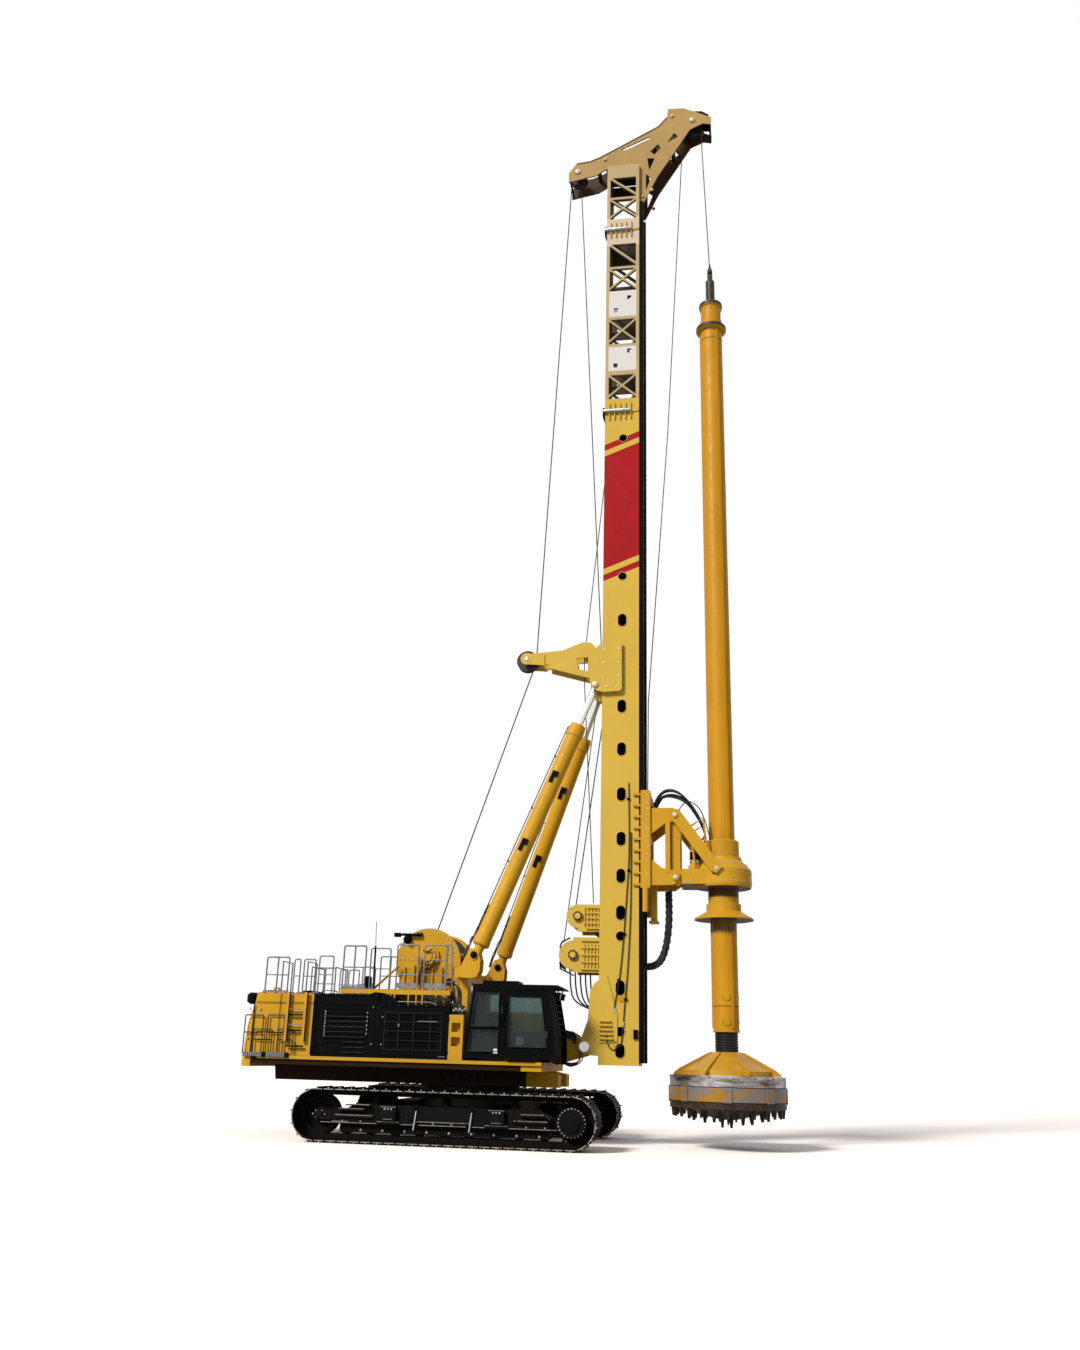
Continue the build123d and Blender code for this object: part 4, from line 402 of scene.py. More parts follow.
FINISH = {
    "machine_yellow": yellow_paint("yellow_paint"),
    "mast_plain": painted("mast_plain", MAST_YELLOW, dusty=0.3, deep=0.88),
    "mast_paint": banded("mast_paint", MAST_YELLOW),
    # kelly: a black stub at its foot, and a brown band from 4.65 to 4.95 m that is a painted shadow of the drive
    # sleeve
    "kelly_yellow": painted(
        "kelly_paint", (0.578, 0.262, 0.007), (0.25, 0.13, 0.03), 0.5, 0.38, (0.10, 0.05, 0.02),
        [(within("Z", None, 2.44), BLACK), (within("Z", 4.65, 4.95, 0.03), (0.20, 0.10, 0.02))],
    ),
    "body_black": painted("black_paint", BLACK, (0.012, 0.0105, 0.009), 0.25, 0.45, shine=0.03),
    "track_black": painted(
        "track_paint", (0.006, 0.0055, 0.005), MUD_AND_SHADE, 0.22, 0.55, (0.03, 0.017, 0.01), shine=0.04,
    ),
    # painted shade: the deck is dark brown as its yellow looks in shade; its front past station 1.45 keeps the
    # yellow
    "deck_shaded": painted(
        "deck_painted_shade", DECK_SHADE_BROWN, (0.045, 0.022, 0.008), 0.3, 0.45,
        zones=[(within("X", 1.45, None), YELLOW)], shine=0.08,
    ),
    "weight_yellow": yellow_paint(
        "weight_paint", zones=[(both(within("X", None, -4.72), within("Z", 2.78, None)), BLACK)],
    ),
    # painted shade: the gearbox's faces that look down are darker
    "gearbox_yellow": yellow_paint("gearbox_paint", dusty=0.3, zones=[(painted_underside_shade, (0.10, 0.05, 0.012))]),
    # painted shade: a dark band round the sleeve from 5.44 to 5.66 m, and darker faces that look down
    "sleeve_yellow": painted(
        "sleeve_paint", (0.56, 0.28, 0.012), chips=RUST,
        zones=[(within("Z", 5.44, 5.66, 0.02), (0.07, 0.032, 0.006)), (painted_underside_shade, (0.10, 0.06, 0.035))],
    ),
    "lattice_cream": painted(
        "cream_paint", (0.50, 0.36, 0.17), (0.36, 0.25, 0.13), 0.35, 0.45, (0.25, 0.13, 0.06),
        lattice_zones(),
    ),
    # painted shade: the crown's inside and its faces that look down are dark brown
    "crown_paint": painted(
        "crown_paint", (0.44, 0.27, 0.085), (0.28, 0.16, 0.06), 0.45, 0.45, (0.12, 0.06, 0.03),
        [(inside_of(CROWN, 0.02), (0.060, 0.028, 0.010)), (painted_underside_shade, (0.035, 0.018, 0.008))],
    ),
    "grey_line": painted("grey_line", (0.020, 0.021, 0.022), (0.05, 0.05, 0.05), 0.5, 0.5, shine=0.1),
    "seam": painted("seam_shadow", (0.004, 0.0035, 0.003), (0.014, 0.012, 0.01), 0.3, 0.6, shine=0.05),
    "bucket": bucket_finish("bucket_paint"),
    "bare_steel": bare_metal(
        "worn_steel", (0.46, 0.45, 0.44), (0.15, 0.10, 0.07), 0.42, 0.7, 3.0, (1, 1, 2.6), 0.3,
    ),
    "drum_steel": bare_metal("dark_steel", (0.020, 0.019, 0.019), (0.05, 0.038, 0.03), 0.5, 0.4, 6.0),
    "worn_edge": bare_metal("worn_edge", (0.42, 0.36, 0.30), (0.18, 0.14, 0.11), 0.45, 0.4, 9.0),
    "chrome_rod": bare_metal(
        "chrome", (0.80, 0.80, 0.81), (0.66, 0.66, 0.67), 0.22, 0.9, 1.5, (1, 1, 0.4), 0.0,
    ),
    "galvanised": bare_metal("galvanised", (0.22, 0.225, 0.23), (0.12, 0.12, 0.123), 0.5, 0.4, 9.0),
    "stud": bare_metal("stud_steel", (0.55, 0.54, 0.52), (0.32, 0.28, 0.24), 0.35, 0.9, 12.0),
    "tooth": bare_metal("tooth_steel", (0.07, 0.055, 0.045), (0.16, 0.10, 0.06), 0.55, 0.6, 8.0, pits=0.4),
    "cab_glass": tinted_glass("cab_glass"),
    "seat_fabric": woven("seat_cloth"),
    "rubber": rubber("hose_rubber"),
    "rope": rope_steel("wire_rope"),
    "tread": tread_plate("tread_plate"),
    "lens": lamp_lens("lamp_lens", (0.75, 0.76, 0.78)),
    "beacon": lamp_lens("beacon_lens", (0.75, 0.22, 0.02)),
}
NODES_OF_FINISH = {
    "mast_plain": ("mast_foot", "aux_winch", "crowd_winch", "pulley_arm", "cylinder_bracket"),
    "mast_paint": ("mast_box",),
    "crown_paint": ("crown_frame",),
    # the mast's rails get black paint as painted shade on their front faces
    "body_black": ("mast_rails",),
    "kelly_yellow": ("kelly_bar",),
    "deck_shaded": ("deck_frame",),
    "weight_yellow": ("counterweight",),
    "gearbox_yellow": ("rotary_gearbox",),
    "sleeve_yellow": ("drive_sleeve",),
    "bucket": ("drilling_bucket",),
}
FINISH_OF_NODE = {node: finish for finish, nodes in NODES_OF_FINISH.items() for node in nodes}


def dress_frame():
    """Gives every CAD node its finish: its slot's, unless the node has one of its own."""
    slots = {p["node"]: p["material_slot"] for p in frame["record"]["subparts"]}
    for name, node in frame["nodes"].items():
        node.data.materials.clear()
        node.data.materials.append(FINISH[FINISH_OF_NODE.get(name, slots[name])])


# ---------------------------------------------------------------- mesh building
BOX_FACES = ((0, 1, 3, 2), (4, 6, 7, 5), (0, 4, 5, 1), (2, 3, 7, 6), (0, 2, 6, 4), (1, 5, 7, 3))
SHARP_FROM = math.radians(32)


def between(low, high, count):
    """Evenly spaced values from low to high, both included."""
    return [low + (high - low) * n / (count - 1) for n in range(count)]


def full_turn(count, first=0.0):
    """Evenly spaced angles all round, the first one given as a share of a step."""
    return [2 * math.pi * (n + first) / count for n in range(count)]


def arc(first, sweep, count):
    """Evenly spaced angles from a first one over a sweep, given in degrees."""
    return [math.radians(first + sweep * n / (count - 1)) for n in range(count)]


def spoke(turn):
    """Level direction at an angle."""
    return Vector((math.cos(turn), math.sin(turn), 0))


def at_side(y, outline):
    """Points of an (x, z) outline on a side plane."""
    return [(x, y, z) for x, z in outline]


def rounded(points, times):
    """Points of a line whose corners are cut that many times."""
    for _ in range(times):
        cut = [p for a, b in zip(points, points[1:]) for p in (a.lerp(b, 0.25), a.lerp(b, 0.75))]
        points = [points[0], *cut, points[-1]]
    return points


class Piece:
    """Mesh made of simple solids; x is a station from the slewing axis."""

    def __init__(self, name, body, finish):
        self.name, self.body, self.finish = name, body, finish
        self.points, self.faces = [], []

    def add(self, points, faces):
        start = len(self.points)
        self.points += [tuple(p) for p in points]
        self.faces += [tuple(start + i for i in face) for face in faces]

    def skin(self, rings):
        """Closed body through rings of as many points each."""
        sides = len(rings[0])
        last = (len(rings) - 1) * sides
        faces = []
        for low in range(0, last, sides):
            for n in range(sides):
                m = (n + 1) % sides
                faces.append((low + n, low + m, low + sides + m, low + sides + n))
        faces.append(tuple(reversed(range(sides))))
        faces.append(tuple(range(last, last + sides)))
        self.add([point for ring in rings for point in ring], faces)

    def box(self, x, y, z):
        self.add([(a, b, c) for a in sorted(x) for b in sorted(y) for c in sorted(z)], BOX_FACES)

    def block(self, centre, ways, half):
        """Box turned to three directions, from its middle."""
        points = [
            centre + ways[0] * half[0] * a + ways[1] * half[1] * b + ways[2] * half[2] * c
            for a in SIDES for b in SIDES for c in SIDES
        ]
        self.add(points, BOX_FACES)

    def plate(self, outline, y):
        """Flat plate with an (x, z) outline between two stations in y."""
        low, high = sorted(y)
        self.skin([at_side(high, outline), at_side(low, outline)])

    def lathe(self, centre, way, profile, sides=24):
        """Closed body turned about way through centre, from its (distance, radius) profile."""
        way, a, b = axes_of(way)
        centre = Vector(centre)
        turns = full_turn(sides)
        self.skin([
            [centre + way * distance + (a * math.cos(turn) + b * math.sin(turn)) * radius for turn in turns]
            for distance, radius in profile
        ])

    def pillar(self, x, y, z, profile, sides=24):
        """Body turned about an upright line."""
        self.lathe((x, y, z), (0, 0, 1), profile, sides)

    def boss(self, x, y, z, profile, sides=24):
        """Body turned about a line across the machine, outwards from y."""
        self.lathe((x, y, z), (0, math.copysign(1, y), 0), profile, sides)

    def rod(self, start, end, radius, sides=12):
        start, end = Vector(start), Vector(end)
        self.lathe(start, end - start, ((0, radius), ((end - start).length, radius)), sides)

    def bolt(self, centre, way, radius, height, sides=6):
        """Bolt head on its washer."""
        self.lathe(centre, way, ((-0.01, radius * 1.5), (height * 0.2, radius * 1.5)), 12)
        self.lathe(centre, way, ((0, radius), (height * 0.85, radius), (height, radius * 0.8)), sides)

    def side_bolt(self, x, y, z, radius, height):
        """Bolt on a face that looks outwards from y."""
        self.bolt((x, y, z), (0, math.copysign(1, y), 0), radius, height)

    def bolt_circle(self, x, y, z, reach, turns, radius, height):
        """Bolts on such a face, round a centre on it."""
        for turn in turns:
            self.side_bolt(x + reach * math.cos(turn), y, z + reach * math.sin(turn), radius, height)

    def tube(self, points, radius, sides=8, smooth=0):
        """Pipe along points; smooth rounds its corners that many times."""
        points = rounded([Vector(p) for p in points], smooth)
        way, a, b = axes_of(points[1] - points[0])
        rings = []
        for k, point in enumerate(points):
            ahead = (points[min(k + 1, len(points) - 1)] - points[max(k - 1, 0)]).normalized()
            turn = way.rotation_difference(ahead)
            way, a, b = ahead, turn @ a, turn @ b
            rings.append([
                point + (a * math.cos(angle) + b * math.sin(angle)) * radius for angle in full_turn(sides)
            ])
        self.skin(rings)

    def build(self, bevel=0.0):
        """The piece's object, with its edges rounded if a bevel is given, not yet on its body."""
        mesh = bpy.data.meshes.new(self.name)
        mesh.from_pydata([(x + SLEW, y, z) for x, y, z in self.points], [], self.faces)
        mesh.update()
        obj = bpy.data.objects.new(self.name, mesh)
        bpy.context.collection.objects.link(obj)
        mesh.materials.append(FINISH[self.finish])
        mesh.shade_smooth()
        mesh.set_sharp_from_angle(angle=SHARP_FROM)
        if bevel:
            edge = obj.modifiers.new("edge", "BEVEL")
            edge.width, edge.segments, edge.limit_method = bevel, 2, "ANGLE"
            edge.harden_normals = True
        return obj


def axes_of(way):
    """Unit vector along a direction, and two across it."""
    way = Vector(way).normalized()
    side = way.cross(Vector((0, 0, 1)) if abs(way.z) < 0.9 else Vector((1, 0, 0))).normalized()
    return way, side, way.cross(side)


def pieces(body, **finishes):
    """Empty pieces for one body, each with its name and finish."""
    return [Piece(name, body, finish) for name, finish in finishes.items()]


def done(*made, bevel=0.0):
    """Puts finished pieces on their bodies."""
    for piece in made:
        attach(piece.build(bevel), piece.body)


# ---------------------------------------------------------------- undercarriage
SHOES = 56
SHOE_HALF = 0.5  # half the width of a shoe
CHAIN_R = WHEEL_Z - 0.03  # radius of the shoes' middle round the wheels
RUN, ROUND = 2 * WHEEL_X, math.pi * CHAIN_R  # lengths of a straight run and a half turn of the chain
FRAME_FACE = TRACK_Y + 0.32  # outer face of a side frame
LEDGES = (  # middle, width, height above ground and depth of the steps on a side frame
    (-1.95, 0.56, 0.69, 0.09), (1.90, 0.48, 0.69, 0.09), (-1.90, 0.82, 0.56, 0.04), (1.85, 0.70, 0.56, 0.04),
    (-2.2, 0.36, 0.43, 0.02), (0.0, 1.16, 0.475, 0.028),
)
LIPS = ((-2.62, -1.33), (-0.98, -0.60), (-0.5, 0.5), (0.62, 1.0), (1.32, 2.40))  # worn runs of the lower edge


def on_chain(way):
    """Station, height and turn of the place that far along the chain's loop."""
    along = way % (2 * (RUN + ROUND))
    if along < RUN:
        return along - WHEEL_X, WHEEL_Z - CHAIN_R, 0.0
    if RUN + ROUND <= along < 2 * RUN + ROUND:
        return WHEEL_X - (along - RUN - ROUND), WHEEL_Z + CHAIN_R, math.pi
    middle, turn = WHEEL_X, (along - RUN) / CHAIN_R
    if along >= 2 * RUN + ROUND:
        middle, turn = -WHEEL_X, (along - 2 * RUN - ROUND) / CHAIN_R + math.pi
    return middle + CHAIN_R * math.sin(turn), WHEEL_Z - CHAIN_R * math.cos(turn), turn


def track_pads():
    """Bolts on every shoe beside the chain, and worn ends of shoes and grousers, round both tracks."""
    bolts, worn = pieces("undercarriage", shoe_bolts="track_black", shoe_wear="worn_edge")
    for n in range(SHOES):
        way = (n + 0.5) * 2 * (RUN + ROUND) / SHOES
        for step in (-0.07, 0.0, 0.07):
            x, z, turn = on_chain(way + step)
            out = Vector((math.sin(turn), 0, -math.cos(turn)))
            ways = (Vector((math.cos(turn), 0, math.sin(turn))), out, Vector((0, 1, 0)))
            for s in SIDES:
                if not step:
                    for y in (s * (TRACK_Y + SHOE_HALF), s * (TRACK_Y - SHOE_HALF)):
                        spot = Vector((x, y, z))
                        worn.block(spot - out * 0.014, ways, (0.105, 0.008, 0.004))
                        worn.block(spot + out * 0.014, ways, (0.013, 0.015, 0.004))
                elif z > 0.2:
                    for y in (-0.17, 0.17):
                        spot = Vector((x, s * TRACK_Y + y, z)) - out * 0.006
                        bolts.lathe(spot, out, ((0, 0.017), (0.02, 0.015)), 6)
    done(bolts, worn)


def wheel_bolts():
    """Bolt circles and covers of the final drives and idlers, and the studs at the roller ends."""
    bolts, covers = pieces("undercarriage", wheel_bolts="worn_edge", wheel_covers="track_black")
    drives, idlers, rollers = (span(f"track_{wheels}")[1].y for wheels in ("sprockets", "idlers", "rollers"))
    for s in SIDES:
        drive, idler = s * (drives - 0.01), s * (idlers - 0.005)
        covers.boss(WHEEL_X, drive, WHEEL_Z, ((0, 0.19), (0.04, 0.18), (0.05, 0.12), (0.055, 0.04)), 32)
        covers.boss(-WHEEL_X, idler, WHEEL_Z, ((0, 0.09), (0.03, 0.085), (0.035, 0.05)))
        bolts.bolt_circle(WHEEL_X, s * (drives - 0.055), WHEEL_Z, 0.275, full_turn(24), 0.013, 0.02)
        for turn in full_turn(6):
            x, z = 0.13 * math.cos(turn) - WHEEL_X, WHEEL_Z + 0.075 * math.sin(turn)
            bolts.side_bolt(x, s * (TRACK_Y + 0.27), z, 0.012, 0.016)
        for x in between(-2.0, 2.0, 9):
            for step in (-0.05, 0.05):
                bolts.side_bolt(x + step, s * rollers, 0.30, 0.014, 0.02)
    done(bolts)
    done(covers, bevel=0.004)


def off_frame(s, *reach):
    """Places in y, that far out from the face of a side frame."""
    return [s * (FRAME_FACE + r) for r in reach]


def frame_boxes(covers, bolts, worn, s):
    """Boxes with three bolts each, over the beams."""
    for x in (-1.15, 1.15):
        for step in (-0.07, 0.0, 0.07):
            bolts.side_bolt(x + step, s * (FRAME_FACE + 0.11), 0.70, 0.013, 0.014)
        covers.box((x - 0.11, x + 0.11), off_frame(s, 0.11, 0.118), (0.50, 0.64))
        covers.box((x - 0.24, x + 0.24), off_frame(s, 0, 0.075), (0.40, 0.45))
        worn.box((x - 0.165, x + 0.165), off_frame(s, 0.10, 0.114), (0.738, 0.746))
        worn.box((x - 0.10, x + 0.10), off_frame(s, 0.112, 0.122), (0.500, 0.506))
        worn.box((x - 0.24, x + 0.24), off_frame(s, 0.066, 0.079), (0.445, 0.453))


def frame_ledges(covers, worn, s):
    """Steps, shelf and lower edge of a side frame, worn bright along their edges."""
    for x, width, z, depth in LEDGES:
        length = (x - width / 2, x + width / 2)
        worn.box(length, off_frame(s, depth - 0.03, depth + 0.004), (z, z + 0.006))
        worn.box(length, off_frame(s, depth - 0.006, depth + 0.004), (z - 0.010, z + 0.006))
    for length in LIPS:
        worn.box(length, off_frame(s, -0.02, 0.012), (0.398, 0.408))
    shelf = (-2.05, -1.55)
    worn.box(shelf, off_frame(s, 0.002, 0.16), (0.765, 0.773))
    covers.box(shelf, off_frame(s, -0.02, 0.16), (0.745, 0.765))


def grease_guns(covers, rods, s):
    """Bright grease guns with their bent hoses, and the feeds of the rollers."""
    face, hook, clip, gun = off_frame(s, 0, 0.03, 0.05, 0.055)
    for x in (-0.60, 0.58):
        rods.rod((x, gun, 0.30), (x + 0.045, gun, 0.68), 0.016)
        bent = (
            (x + 0.045, face, 0.66), (x + 0.045, clip, 0.68), (x + 0.075, gun, 0.79), (x + 0.01, gun, 0.80),
            (x + 0.02, hook, 0.66),
        )
        covers.tube(bent, 0.012, smooth=2)
    for x in (-0.8, 0.9, 1.5):
        feed = ((x, face, 0.62), (x + 0.05, clip, 0.56), (x + 0.16, clip, 0.50), (x + 0.2, face, 0.46))
        covers.tube(feed, 0.012, smooth=2)


def side_frames():
    """Everything on the outer faces of the side frames."""
    covers, bolts, worn, rods = pieces(
        "undercarriage", frame_covers="track_black", frame_bolts="stud", frame_edges="worn_edge",
        frame_rods="chrome_rod",
    )
    for s in SIDES:
        frame_boxes(covers, bolts, worn, s)
        frame_ledges(covers, worn, s)
        grease_guns(covers, rods, s)
        for x in between(-2.15, 2.15, 12):
            bolts.side_bolt(x, s * FRAME_FACE, 0.435, 0.011, 0.013)
        for x in between(-1.9, 1.9, 9):
            bolts.side_bolt(x + 0.12, s * (TRACK_Y + 0.195), 0.26, 0.016, 0.014)
    done(covers, bevel=0.004)
    done(bolts, worn, rods)


def bearing_bolts():
    """Bolt circle of the slewing bearing."""
    bolts = Piece("slew_bolts", "upper", "stud")
    radius = span("slew_ring_upper")[1].x - 0.035
    for turn in full_turn(60):
        bolts.bolt(spoke(turn) * radius + Vector((0, 0, DECK[0].z)), (0, 0, 1), 0.014, 0.02)
    done(bolts)


# ---------------------------------------------------------------- upper works
SEAM = (-0.002, 0.003)  # how far in and out of the wall a seam's dark strip reaches
TAIL_SEAMS = (  # limits in x and z
    ((-4.72, -4.69), (FLOOR + 0.05, 2.78)), ((-4.70, HOOD[1].x), (2.826, 2.838)),
    ((HOOD[1].x - 0.006, HOOD[1].x + 0.012), (FLOOR + 0.03, ROOF - 0.01)),
    ((-4.106, -4.094), (FLOOR + 0.03, ROOF - 0.01)), ((-3.66, -3.65), (FLOOR + 0.02, 1.98)),
)
LADDER = (-3.90, -3.485)  # its two stiles
FOLDED_FRAMES = ((-4.88, -4.45, 2.545), (-4.34, -3.95, 2.555), (-4.65, -4.22, 2.245), (-4.08, -3.72, 2.25))
GRATINGS = ((-4.87, -4.42), (-4.31, -3.88))
RAIL_Y = 1.46  # handrails of the winch platform
ROOF_RAILS = ((-3.86, -3.72, 0.74), (-3.63, -3.36, 0.74), (-3.27, -2.94, 0.82))  # ends and height
WINCH_GUARDS = ((-1.50, -1.00), (-0.86, -0.36))


def off_wall(s, *reach):
    """Places in y, that far out from the side wall of the upper works."""
    return [s * (SIDE + r) for r in reach]


def deck_trim():
    """Trim line, walkway strips, swivel hoses and the hose below the pivot."""
    trim, walk, dark = pieces("upper", deck_trim="machine_yellow", deck_walk="tread", deck_hoses="rubber")
    for s in SIDES:
        trim.box((DECK[0].x + 0.16, CAB[1].x - 0.33), off_wall(s, 0, 0.012), (FLOOR - 0.075, FLOOR - 0.002))
    for x0, x1 in ((CAB[1].x - 0.95, CAB[1].x - 0.35), (0.25, 0.67), (0.75, 1.17), (1.25, 1.67)):
        walk.box((x0, x1), (-0.68, -0.42), (FLOOR, FLOOR + 0.008))
    for n in range(6):
        x = -0.55 + 0.2 * n
        swivel = ((x, -0.95, 1.52), (x + 0.04, -1.0, 1.40), (x + 0.10, -0.98, 1.26), (x + 0.12, -0.85, 1.22))
        dark.tube(swivel, 0.022, smooth=2)
    below = (
        (2.06, -0.36, 1.80), (2.16, -0.43, 1.70), (2.40, -0.44, 1.625), (2.60, -0.43, 1.72),
        (2.66, -0.37, 1.90),
    )
    dark.tube(below, 0.013, smooth=3)
    done(trim, bevel=0.003)
    done(walk, dark)


def tail_ladder(ladder, rungs, rails, s):
    """Ladder with dark strips of painted shade beside its stiles, dark rungs, and two bright rungs between them.
    """
    for x in LADDER:
        ladder.box((x - 0.03, x + 0.03), off_wall(s, 0.035, 0.075), (2.0, 3.06))
        # painted shade: a thin dark strip along the side of each stile
        rungs.box((x + 0.03, x + 0.045), off_wall(s, 0.03, 0.07), (2.0, 3.06))
        for z in (2.06, 2.95):
            ladder.box((x - 0.02, x + 0.02), off_wall(s, 0, 0.04), (z - 0.03, z + 0.03))
    for z in (1.90, 2.235, 2.57):
        rungs.box((-3.87, -3.47), off_wall(s, 0.03, 0.07), (z - 0.018, z + 0.018))
    for z in (2.36, 2.69):
        rails.box((-3.87, -3.50), off_wall(s, 0.04, 0.06), (z - 0.008, z + 0.008))


def arch(piece, y, x0, x1, low, high, corner, radius):
    """Tube up, over and down again, with rounded corners."""
    outline = (
        (x0, low), (x0, high - corner), (x0, high), (x0 + corner, high),
        (x1 - corner, high), (x1, high), (x1, high - corner), (x1, low),
    )
    piece.tube(at_side(y, outline), radius, smooth=2)


def folded_rails(frames, rungs, rails, s):
    """Handrail frames folded against the tail, two tall ones and two inside them, over their gratings."""
    y = s * (SIDE + 0.03)
    # the frames are dark steel, painted shade standing for the shadow on them
    for x0, x1, high in FOLDED_FRAMES:
        arch(frames, y, x0, x1, FLOOR + 0.02, high, 0.08, 0.014)
        middle = (FLOOR + high) / 2 + 0.05
        rungs.rod((x0, y, middle), (x1, y, middle), 0.012, 8)
    for x0, x1 in GRATINGS:
        rails.box((x0, x1), off_wall(s, 0, 0.05), (FLOOR - 0.035, FLOOR + 0.055))
        for x in between(x0 + 0.03, x1 - 0.03, 10):
            rails.box((x, x + 0.012), off_wall(s, 0.05, 0.062), (FLOOR - 0.035, FLOOR + 0.055))
    for x in (-4.38, -3.84):
        rungs.box((x - 0.04, x + 0.04), off_wall(s, 0, 0.05), (FLOOR - 0.05, FLOOR + 0.06))


def tail():
    """Seams, ladder, folded rails, bolts and the black upper corner of the counterweight and hood."""
    seams, rails, frames, rungs, bolts, corner, ladder = pieces(
        "upper", tail_seams="seam", tail_rails="galvanised", tail_frames="drum_steel",
        tail_rungs="body_black",
        tail_bolts="stud", tail_corner="body_black", tail_ladder="machine_yellow",
    )
    for s in SIDES:
        for x, z in TAIL_SEAMS:
            seams.box(x, off_wall(s, *SEAM), z)
        tail_ladder(ladder, rungs, rails, s)
        folded_rails(frames, rungs, rails, s)
        for x in (-4.80, -4.57):
            for z in (2.05, 2.68):
                bolts.side_bolt(x, s * SIDE, z, 0.016, 0.018)
    for y in (-1.0, 0.0, 1.0):
        seams.box((WEIGHT[0].x + 0.01, WEIGHT[0].x + 0.05), (y - 0.008, y + 0.008), (1.75, 2.3))
    rounded_box(corner, (-4.93, -4.72), (-SIDE + 0.02, SIDE - 0.02), (2.79, ROOF - 0.01), 0.05)
    done(seams, rails, frames, rungs, bolts, corner)
    done(ladder, bevel=0.004)


def hoop(piece, y, x0, x1, low, high, posts, radius=0.019, knees=1):
    """Handrail with knee rails, posts and their feet."""
    arch(piece, y, x0, x1, low, high, 0.10, radius)
    for z in between(low, high, knees + 2)[1:-1]:
        piece.rod((x0, y, z), (x1, y, z), radius * 0.75, 8)
    stands = between(x0, x1, posts + 2)
    for x in stands[1:-1]:
        piece.rod((x, y, low), (x, y, high), radius, 8)
    for x in stands:
        piece.box((x - 0.04, x + 0.04), (y - 0.04, y + 0.04), (low - 0.004, low + 0.012))


def roof_rails(rails, s):
    """Handrails along one side of the roof."""
    y = s * (SIDE - 0.05)
    hoop(rails, y, -4.52, -3.99, ROOF, ROOF + 0.78, 1)
    rails.box((-4.56, -3.96), (y - 0.01, y + 0.01), (ROOF, ROOF + 0.05))
    for x0, x1, lift in ROOF_RAILS:
        hoop(rails, y, x0, x1, ROOF, ROOF + lift, 0, 0.017)
    low_rail = ((-3.20, ROOF), (-3.20, ROOF + 0.07), (-2.85, ROOF + 0.07), (-2.85, ROOF))
    rails.tube(at_side(s * 1.5, low_rail), 0.014, smooth=1)
    for n in range(5):
        x = -2.35 + 0.16 * n
        rails.box((x, x + 0.09), (s * 1.56, s * 1.60), (ROOF + 0.004, ROOF + 0.026))


def platform_rails(rails, s):
    """Handrails, toe boards and ladder along one side of the winch platform, and the pipe below."""
    y = s * RAIL_Y
    board = (y - 0.01, y + 0.01)
    hoop(rails, y, -2.76, -2.24, WALK, WALK + 0.95, 1)
    hoop(rails, y, -2.12, -1.66, WALK, WALK + 0.90, 0, 0.017)
    rails.box((-2.74, -2.2), board, (WALK, WALK + 0.06))
    for x0, x1 in WINCH_GUARDS:
        hoop(rails, y, x0, x1, WALK, WALK + 0.99, 0, 0.016, 2)
        rails.box((x0 + 0.02, x1 - 0.02), board, (WALK + 0.03, WALK + 0.15))
    ladder = ((-0.34, WALK), (-0.34, 4.14), (-0.30, 4.2), (-0.22, 4.14), (-0.2, WALK))
    rails.tube(at_side(y, ladder), 0.015, smooth=1)
    for z in between(3.35, 3.95, 4):
        rails.rod((-0.34, y, z), (-0.2, y, z), 0.011, 6)
    pipe = ((-1.72, 2.86), (-1.70, 2.905), (-0.66, 2.905), (-0.5, 2.86))
    rails.tube(at_side(s * 1.58, pipe), 0.011)


def antenna(black):
    """Antenna with its thick grip, and a filter bowl beside it."""
    y, grip = -RAIL_Y, WALK + 0.95
    black.rod((-2.02, y, WALK), (-2.03, y, grip), 0.022)
    black.rod((-2.03, y, grip), (-2.05, y, WALK + 1.50), 0.007, 6)
    black.pillar(-2.18, -1.38, WALK + 0.02, ((0, 0.05), (0.10, 0.09), (0.24, 0.09), (0.27, 0.05)), 20)


def roof():
    """Handrails, walkways, antenna and beacon on the house roof and winch platform."""
    rails, black, walk, lamp = pieces(
        "upper", roof_rails="galvanised", roof_fittings="body_black", roof_walk="tread", beacon="beacon",
    )
    cowl = (
        (-2.06, ROOF), (-1.93, ROOF + 0.05), (-1.70, ROOF + 0.03), (-1.42, 2.95), (-1.36, 2.86),
        (-1.86, 2.86),
        (-1.86, ROOF),
    )
    low, high = PLATFORM
    for s in SIDES:
        roof_rails(rails, s)
        platform_rails(rails, s)
        black.plate(cowl, (s * 1.05, s * 1.60))
    for y in ((low.y + 0.03, -0.98), (0.98, high.y - 0.03)):
        walk.box((low.x + 0.03, high.x - 0.03), y, (WALK, WALK + 0.006))
    walk.box((WEIGHT[0].x + 0.3, HOOD[1].x - 0.03), (-1.5, 1.5), (ROOF, ROOF + 0.006))
    for x in (-4.3, -3.7):
        for x0, y0, y1, lift in ((x, -1.2, -0.6, 0.72), (x + 0.2, 0.2, 1.1, 0.7)):
            across = ((x0, y0, ROOF), (x0, y0, ROOF + lift), (x0, y1, ROOF + lift), (x0, y1, ROOF))
            rails.tube(across, 0.018)
    black.box((-4.1, -3.85), (-0.3, 0.3), (ROOF, ROOF + 0.12))
    for n in range(6):
        black.box((-3.3 + n * 0.2, -3.2 + n * 0.2), (-0.75, 0.75), (ROOF, ROOF + 0.015))
    antenna(black)
    rails.box((-2.42, -2.08), (-1.42, -1.36), (WALK, WALK + 0.11))
    lamp.pillar(-4.72, 1.2, ROOF, ((0, 0.06), (0.03, 0.07), (0.13, 0.06), (0.16, 0.03)), 20)
    done(rails, black, walk, lamp)


